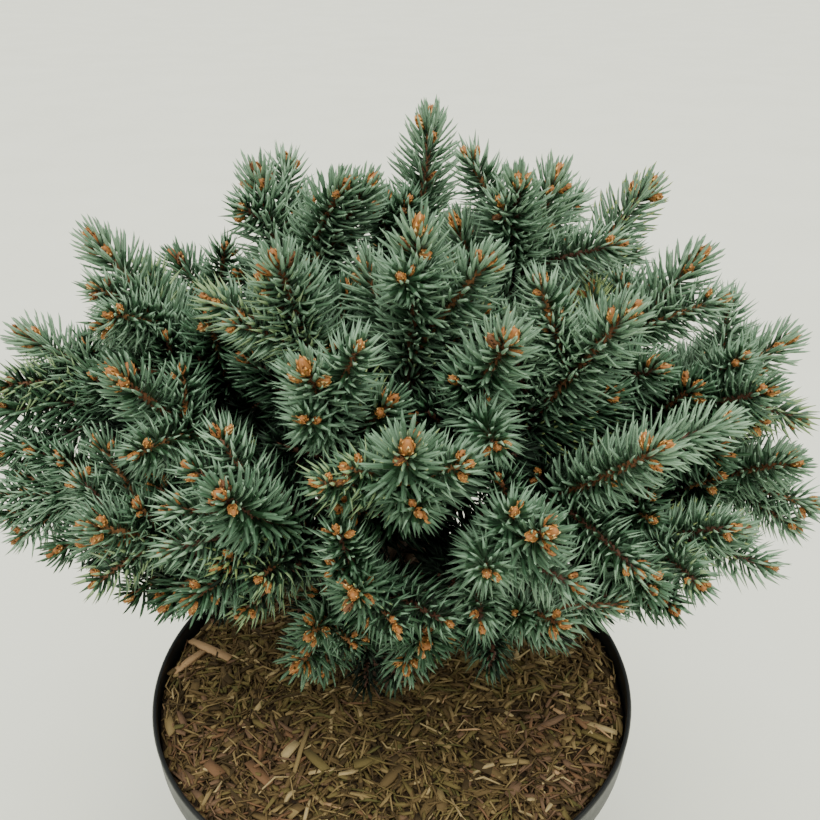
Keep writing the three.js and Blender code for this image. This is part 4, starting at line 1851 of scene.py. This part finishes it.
@dataclass
class NurseryPot(Piecework):
    """The round black pot: a thin tapered wall with a deep collar, a flat foot and drain holes."""

    height: float = 150.0
    rim_radius: float = 95.0
    collar_depth: float = 13.0
    collar_step: float = 2.4
    foot_radius: float = 69.0
    wall: float = 1.7
    floor: float = 3.0
    holes: int = 6
    hole_radius: float = 4.5
    hole_ring: float = 52.0
    sides: int = 144

    def radius_at(self, height: float) -> float:
        """The wall's outer radius at a height."""
        taper = self.rim_radius - self.collar_step - self.foot_radius
        return self.foot_radius + taper * height / self.height

    def profile(self) -> Array:
        """The wall's section, from the middle of the underside round to the middle of the floor."""
        top, rim = self.height, self.rim_radius
        collar = top - self.collar_depth
        inner = rim - self.wall
        lip = [
            (rim - 0.3, top - 1.6),
            (rim - 0.05, top - 1.0),
            (rim - 0.3, top - 0.4),
            (rim - 0.75, top),
            (inner + 0.3, top),
            (inner, top - 0.35),
            (inner - 0.1, top - 1.2),
            (inner - 0.2, collar + 2.2),
            (inner - 0.5, collar + 1.5),
        ]
        outside = [(self.radius_at(z), z) for z in np.linspace(2.2, collar - 2.0, 12)]
        throat = self.radius_at(collar) - self.wall
        heel = self.foot_radius - self.wall
        inside = [
            (lerp(throat, heel, share), lerp(collar - 0.8, self.floor + 1.2, share))
            for share in np.linspace(0, 1, 10)
        ]
        foot = [
            (0.02, 0.0),
            (self.foot_radius - 9, 0.0),
            (self.foot_radius - 2.6, 0.0),
            (self.foot_radius - 0.8, 0.4),
            (self.foot_radius + 0.1, 1.2),
        ]
        step = [
            (self.radius_at(collar) + 0.15, collar - 1.2),
            (rim - 1.5, collar - 0.5),
            (rim - 0.95, collar),
            (rim - 0.8, collar + 0.9),
            (rim - 0.55, collar + 5.5),
        ]
        floor = [(heel - 1.2, self.floor), (self.foot_radius - 12, self.floor), (0.02, self.floor)]
        return np.array([*foot, *outside, *step, *lip, *inside, *floor])

    def build(self) -> None:
        """Makes the pot: the section turned round, then the drain holes cut."""
        radii, heights = self.profile().T
        self.parts = MeshParts()
        self.parts.add(*turned(radii, np.repeat(heights[:, None], self.sides, axis=1)))
        pot = self.parts.build("pot_shell", [PotPlastic().material()])
        self.drill(pot)
        pot.data.shade_smooth()
        finish_piece(pot, ["pot"])

    def drill(self, pot: bpy.types.Object) -> None:
        """Cuts the drain holes through the floor.

        Args:
            pot: the turned pot.
        """
        drills = MeshParts()
        for k in range(self.holes):
            turn = (k + 0.5) / self.holes * FULL_TURN
            x, y = self.hole_ring * math.cos(turn), self.hole_ring * math.sin(turn)
            line = np.array([[x, y, z] for z in (-3.0, self.floor / 2, self.floor + 3.0)])
            drills.add(*tube(line, np.full(3, self.hole_radius), 24))
        cutter = drills.build("drills", [])
        cut = pot.modifiers.new("drain_holes", "BOOLEAN")
        cut.operation = "DIFFERENCE"
        cut.solver = "EXACT"
        cut.object = cutter
        shaped = bpy.data.meshes.new_from_object(pot.evaluated_get(bpy.context.evaluated_depsgraph_get()))
        pot.modifiers.clear()
        pot.data = shaped
        bpy.data.objects.remove(cutter)


class ChipTint(Tints):
    """The plain colours of shredded bark."""

    UMBER = ((74, 60, 37), 0.9, 0.3)
    BROWN = ((108, 89, 56), 0.88, 0.3)
    TAN = ((147, 126, 83), 0.85, 0.3)
    STRAW = ((184, 162, 115), 0.82, 0.3)
    OLIVE = ((116, 102, 60), 0.86, 0.3)
    MOSSY = ((98, 93, 52), 0.88, 0.3)
    RUST = ((126, 94, 66), 0.85, 0.3)
    ROSE = ((118, 92, 69), 0.86, 0.3)
    BLOND = ((192, 156, 114), 0.85, 0.3)


@dataclass(frozen=True)
class ChipSort:
    """One sort of bark piece: the least and most of each size, and how it lies.

    The last three are the share of pieces with a brown half, whether pale ones turn brown, and how
    wide the ends are beside the middle.
    """

    length: Pair
    width: Pair
    depth: Pair
    tilt: float
    arch: float
    lift: Pair
    browned: float = 0.35
    dull: bool = False
    ends: Pair = (0.45, 0.95)


class ChipKind(Enum):
    """The sorts of bark piece in the mulch."""

    FLAKE = ChipSort((6, 13), (2.2, 4.0), (0.9, 1.6), 8, 0.4, (0.8, 2.6))
    SHRED = ChipSort((4, 12), (0.8, 2.1), (0.6, 1.2), 13, 0.5, (-0.6, 2.2))
    FIBRE = ChipSort((6, 17), (0.4, 0.8), (0.4, 0.7), 11, 1.5, (-0.4, 2.7))
    CRUMB = ChipSort((1.4, 4.2), (0.9, 2.0), (0.7, 1.5), 34, 0.1, (-0.8, 1.6), dull=True)
    MARKED = ChipSort((8, 24), (1.5, 4.2), (1.2, 1.7), 3, 0.2, (3.2, 3.6), 0.0, ends=(0.8, 1.0))


# The pieces of strewn bark, with how many of each sort are in them
STREWN = {
    "bark_flakes": {ChipKind.FLAKE: 110, ChipKind.CRUMB: 1900},
    "bark_shreds": {ChipKind.SHRED: 3700},
    "bark_fibres": {ChipKind.FIBRE: 3200},
}
# The piece that the marked chips join, and the tints that are too pale for crumbs
MARKED_PIECE = "bark_flakes"
PALE_CHIPS = (ChipTint.TAN, ChipTint.STRAW, ChipTint.RUST, ChipTint.BLOND)


@dataclass(frozen=True)
class MarkedChip:
    """A larger chip with a place of its own: its middle, turn in degrees, length and width."""

    x: float
    y: float
    turn: float
    length: float
    width: float
    tint: ChipTint


def chip_between(start: Pair, end: Pair, width: float, tint: ChipTint) -> MarkedChip:
    """A chip whose ends the photograph shows at two pixels, to whole millimetres and degrees."""
    first = PHOTO_CAMERA.on_level(*start, CHIP_LEVEL)
    last = PHOTO_CAMERA.on_level(*end, CHIP_LEVEL)
    x, y, _ = (first + last) / 2
    run = last - first
    turn = math.degrees(math.atan2(run[1], run[0]))
    return MarkedChip(round(x), round(y), round(turn), round(float(np.linalg.norm(run))), width, tint)


CHIP_LEVEL = 143.5
MARKED_CHIPS = (
    chip_between((188, 641), (229, 659), 3.6, ChipTint.BLOND),
    MarkedChip(-86, 10, 51, 16, 3.2, ChipTint.BLOND),
    chip_between((247, 763), (269, 786), 3.4, ChipTint.RUST),
    chip_between((281, 757), (297, 741), 3.6, ChipTint.STRAW),
    chip_between((307, 751), (326, 770), 3.2, ChipTint.OLIVE),
    MarkedChip(-34, -37, 80, 24, 1.5, ChipTint.TAN),
    MarkedChip(-86, -23, -67, 12, 3.2, ChipTint.TAN),
    MarkedChip(-65, -44, -42, 8, 4.2, ChipTint.RUST),
    chip_between((353, 766), (379, 760), 4.0, ChipTint.OLIVE),
    MarkedChip(81, -25, -24, 12, 2.2, ChipTint.STRAW),
    MarkedChip(79, -29, -28, 13, 2.4, ChipTint.OLIVE),
    MarkedChip(62, -22, 28, 13, 2.2, ChipTint.ROSE),
    MarkedChip(46, -41, 2, 12, 1.8, ChipTint.TAN),
)


@dataclass
class BarkMulch(Piecework):
    """The pot's filling: dark crumbly ground in relief, strewn with shreds, flakes and fibres.

    The three sets of shares deal out the tints in the order of ChipTint. Each spot has its middle
    and its radius, and grain is the size of the patches that chips lie alike in.
    """

    pot: NurseryPot
    top: float = 142.0
    relief: float = 2.2
    rings: int = 60
    sides: int = 180
    seed: int = 71
    grain: float = 17.0
    loose: float = 0.45
    dry_shares: Shares = (0.17, 0.32, 0.21, 0.07, 0.09, 0.02, 0.03, 0.08, 0.01)
    mossy_shares: Shares = (0.19, 0.22, 0.13, 0.05, 0.28, 0.1, 0.01, 0.02, 0.0)
    rosy_shares: Shares = (0.23, 0.2, 0.1, 0.03, 0.02, 0.01, 0.1, 0.3, 0.01)
    mossy_spots: tuple[Triple, ...] = ((2, -42, 30), (-52, 8, 34), (30, -70, 24), (40, 30, 40))
    rosy_spots: tuple[Triple, ...] = ((-62, -48, 27), (64, -44, 27), (-40, -75, 18), (20, 60, 25))

    @property
    def edge(self) -> float:
        """The radius of the filling's top, inside the collar."""
        return self.pot.rim_radius - self.pot.wall - 0.5

    def ground_at(self, x: Array, y: Array) -> Array:
        """The height of the ground: low humps with finer crumbs on them.

        Args:
            x: places across.
            y: places along.

        Returns:
            The heights.
        """
        flat = np.stack([x.ravel(), y.ravel(), np.zeros(x.size)], axis=1)
        humps = 0.6 * smooth_noise(flat, 19, 2) + 0.25 * smooth_noise(flat, 7, 4)
        crumbs = 0.22 * smooth_noise(flat, 2.6, 6) + 0.12 * smooth_noise(flat, 1.2, 8)
        return self.top - 1.6 + self.relief * (humps + crumbs).reshape(x.shape)

    def build(self) -> None:
        """Makes the ground, and the strewn bark with a piece for each entry of STREWN."""
        self.ground()
        self.random = np.random.default_rng(self.seed)
        materials = ChipTint.materials()
        for name, kinds in STREWN.items():
            self.parts = MeshParts()
            for kind, count in kinds.items():
                self.strew(kind.value, count)
            if name == MARKED_PIECE:
                self.place_marked()
            finish_piece(self.parts.build(name, materials))

    def ground(self) -> None:
        """Makes the filling: a round plug with its top in relief."""
        pot = self.pot
        foot = pot.foot_radius - pot.wall - 0.5
        collar = pot.height - pot.collar_depth
        throat = pot.radius_at(collar) - pot.wall - 0.6
        below = [0.1, foot * 0.5, foot, throat, throat]
        radii = np.array([*below, *np.linspace(self.edge, 0.1, self.rings)])
        heights = self.ground_at(*ring_places(radii, self.sides))
        heights[:3] = pot.floor + GAP
        heights[3], heights[4] = collar - 1, collar + 0.6
        self.parts = MeshParts()
        self.parts.add(*turned(radii, heights))
        piece = self.parts.build("filling", [DARK_HUMUS.material()])
        piece.data.shade_smooth()
        finish_piece(piece, ["bark_mulch"])

    def strew(self, sort: ChipSort, n: int) -> None:
        """Scatters chips of one sort, turned along the wall where they are near it.

        Their tints come from one of three sets of shares, which take turns in patches.

        Args:
            sort: their sort.
            n: their number.
        """
        length = self.random.uniform(*sort.length, n) * self.random.uniform(0.7, 1, n)
        width = self.random.uniform(*sort.width, n)
        radius = (self.edge - 1.0 - length * 0.1) * np.sqrt(self.random.uniform(0.0, 1, n))
        bearing = self.random.uniform(0, FULL_TURN, n)
        x, y = radius * np.cos(bearing), radius * np.sin(bearing)
        place = np.stack([x, y, np.zeros(n)], axis=1)
        near_wall = radius + length / 2 > self.edge - 1
        along_wall = bearing + math.pi / 2 + self.random.normal(0, 0.22, n)
        grain = 3.2 * smooth_noise(place, self.grain, 19) + self.random.normal(0, 0.45, n)
        loose = self.random.random(n) < self.loose
        turn = np.where(near_wall, along_wall, np.where(loose, self.random.uniform(0, math.pi, n), grain))
        sets = (self.dry_shares, self.mossy_shares, self.rosy_shares)
        dry, mossy, rosy = (self.random.choice(len(ChipTint), n, p=shares) for shares in sets)
        ragged = 0.35 * smooth_noise(place, 14, 12) + self.random.normal(0, 0.2, n)
        mossy_here, rosy_here = (
            np.min([np.hypot(x - at_x, y - at_y) / size for at_x, at_y, size in spots], axis=0) + ragged < 1
            for spots in (self.mossy_spots, self.rosy_spots)
        )
        tints = np.where(rosy_here, rosy, np.where(mossy_here, mossy, dry))
        if sort.dull:
            pale = [tint.number for tint in PALE_CHIPS]
            tints = np.where(np.isin(tints, pale), ChipTint.BROWN.number, tints)
        self.lay(place, turn, (length, width), tints, sort)

    def place_marked(self) -> None:
        """Adds the larger chips that have places of their own."""
        rows = np.array([(chip.x, chip.y, 0.0, chip.turn, chip.length, chip.width) for chip in MARKED_CHIPS])
        tints = np.array([chip.tint.number for chip in MARKED_CHIPS])
        turn, size = np.radians(rows[:, 3]), (rows[:, 4], rows[:, 5])
        self.lay(rows[:, :3], turn, size, tints, ChipKind.MARKED.value)

    def lay(self, place: Array, turn: Array, size: tuple[Array, Array], tints: Array, sort: ChipSort) -> None:
        """Adds chips: each a bar of three sections, arched, with ragged narrowed ends.

        Args:
            place: where the middle of each lies on the ground.
            turn: which way it points, in radians.
            size: the length and the width of each.
            tints: the number of each one's tint.
            sort: their sort.
        """
        n = len(place)
        length, width = size
        depth = self.random.uniform(*sort.depth, n)
        pitch = np.radians(self.random.normal(0, sort.tilt, n)).clip(-0.5, 0.5)
        roll = np.radians(self.random.normal(0, sort.tilt * 1.3, n))[:, None]
        way = np.stack([np.cos(turn) * np.cos(pitch), np.sin(turn) * np.cos(pitch), np.sin(pitch)], axis=1)
        level = np.stack([-np.sin(turn), np.cos(turn), np.zeros(n)], axis=1)
        level, high = rolled(level, np.cross(way, level), roll)
        rise = self.random.uniform(*sort.lift, n) + np.abs(np.sin(pitch)) * length * 0.3
        centre = place + np.outer(self.ground_at(place[:, 0], place[:, 1]) + rise, UP)
        arch = self.random.normal(0, 1, (n, 2)) * sort.arch
        sections = []
        for share, end in ((-0.5, True), (0.05, False), (0.5, True)):
            middle = centre + way * (length * (share + self.random.normal(0, 0.03, n)))[:, None]
            if not end:
                middle = middle + level * arch[:, :1] + high * (np.abs(arch[:, 1:]) * 0.5)
            w = width * self.random.uniform(*(sort.ends if end else (0.9, 1.1)), n) / 2
            d = depth * (self.random.uniform(0.5, 0.9, n) if end else 1.0) / 2
            skew = self.random.normal(0, 0.16, n) * width
            for a, b in ((-1, -1), (1, -1), (1, 1), (-1, 1)):
                spot = middle + level * (a * w)[:, None] + high * (b * d)[:, None]
                sections.append(spot + way * (a * skew)[:, None])
        points = np.stack(sections, axis=1)
        inside = np.linalg.norm(points[..., :2], axis=2)
        points[..., :2] *= np.minimum(1, (self.edge - 0.3) / np.maximum(inside, 1e-6))[..., None]
        quads = np.concatenate([grid_faces(3, 4), [[3, 2, 1, 0], [8, 9, 10, 11]]])
        own = np.repeat(tints[:, None], len(quads), axis=1)
        own[self.random.random(n) < sort.browned, 4:8] = ChipTint.BROWN.number
        self.parts.add(points, [repeat_faces(quads, n, 12)], [own.ravel()])


# Surroundings


@dataclass(frozen=True)
class SoftLight:
    """A wide soft light from far off, even over the plant and the floor."""

    name: str
    bearing: float
    rise: float
    width: float
    strength: float
    colour: Triple

    def build(self) -> None:
        """Makes the light, which comes from a bearing and a rise in degrees."""
        lamp = bpy.data.lights.new(self.name, "SUN")
        lamp.angle = math.radians(self.width)
        lamp.energy = self.strength
        lamp.color = self.colour
        made = bpy.data.objects.new(self.name, lamp)
        made.location = heading(self.bearing, self.rise) * 2
        made.rotation_euler = (math.radians(90 - self.rise), 0, math.radians(self.bearing))
        bpy.context.scene.collection.objects.link(made)


@dataclass(frozen=True)
class Studio:
    """The plain pale floor and the soft light."""

    floor_size: float = 24.0
    sky: Triple = (0.96, 0.99, 0.95)
    sky_strength: float = 0.6
    key_light: SoftLight = SoftLight("key_light", 4, 72, 75, 4.3, (1.0, 0.99, 0.93))

    def build(self) -> None:
        """Makes the floor, the lamp and the even light from all round."""
        half = self.floor_size / 2 / MM
        corners = np.array([[x * half, y * half, 0] for x, y in ((-1, -1), (1, -1), (1, 1), (-1, 1))])
        parts = MeshParts()
        parts.add(corners, [np.array([[0, 1, 2, 3]])])
        floor = parts.build("floor", [PALE_FLOOR.material()])
        self.key_light.build()
        world = bpy.data.worlds.new("soft_sky")
        world.use_nodes = True
        sky = world.node_tree.nodes["Background"]
        sky.inputs["Color"].default_value = (*self.sky, 1.0)
        sky.inputs["Strength"].default_value = self.sky_strength
        bpy.context.scene.world = world


def main() -> None:
    """Builds the camera, the plant in its pot and the studio."""
    logging.basicConfig(level=logging.INFO, format="%(message)s", stream=sys.stdout)
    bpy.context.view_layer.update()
    PHOTO_CAMERA.build()
    rule = GrowthRule(TrunkLine())
    masses = FinerGrowth(rule).masses()
    LOG.info("%d masses, %d shoots", len(masses), sum(len(m.shoots) for m in masses))
    pot = NurseryPot()
    pot.build()
    BarkMulch(pot).build()
    BarkedLimbs(rule).build()
    Twigs(masses).build()
    BudClusters(masses).build()
    NeedleCoat(masses).build()
    Studio().build()
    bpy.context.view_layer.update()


if __name__ == "__main__":
    main()
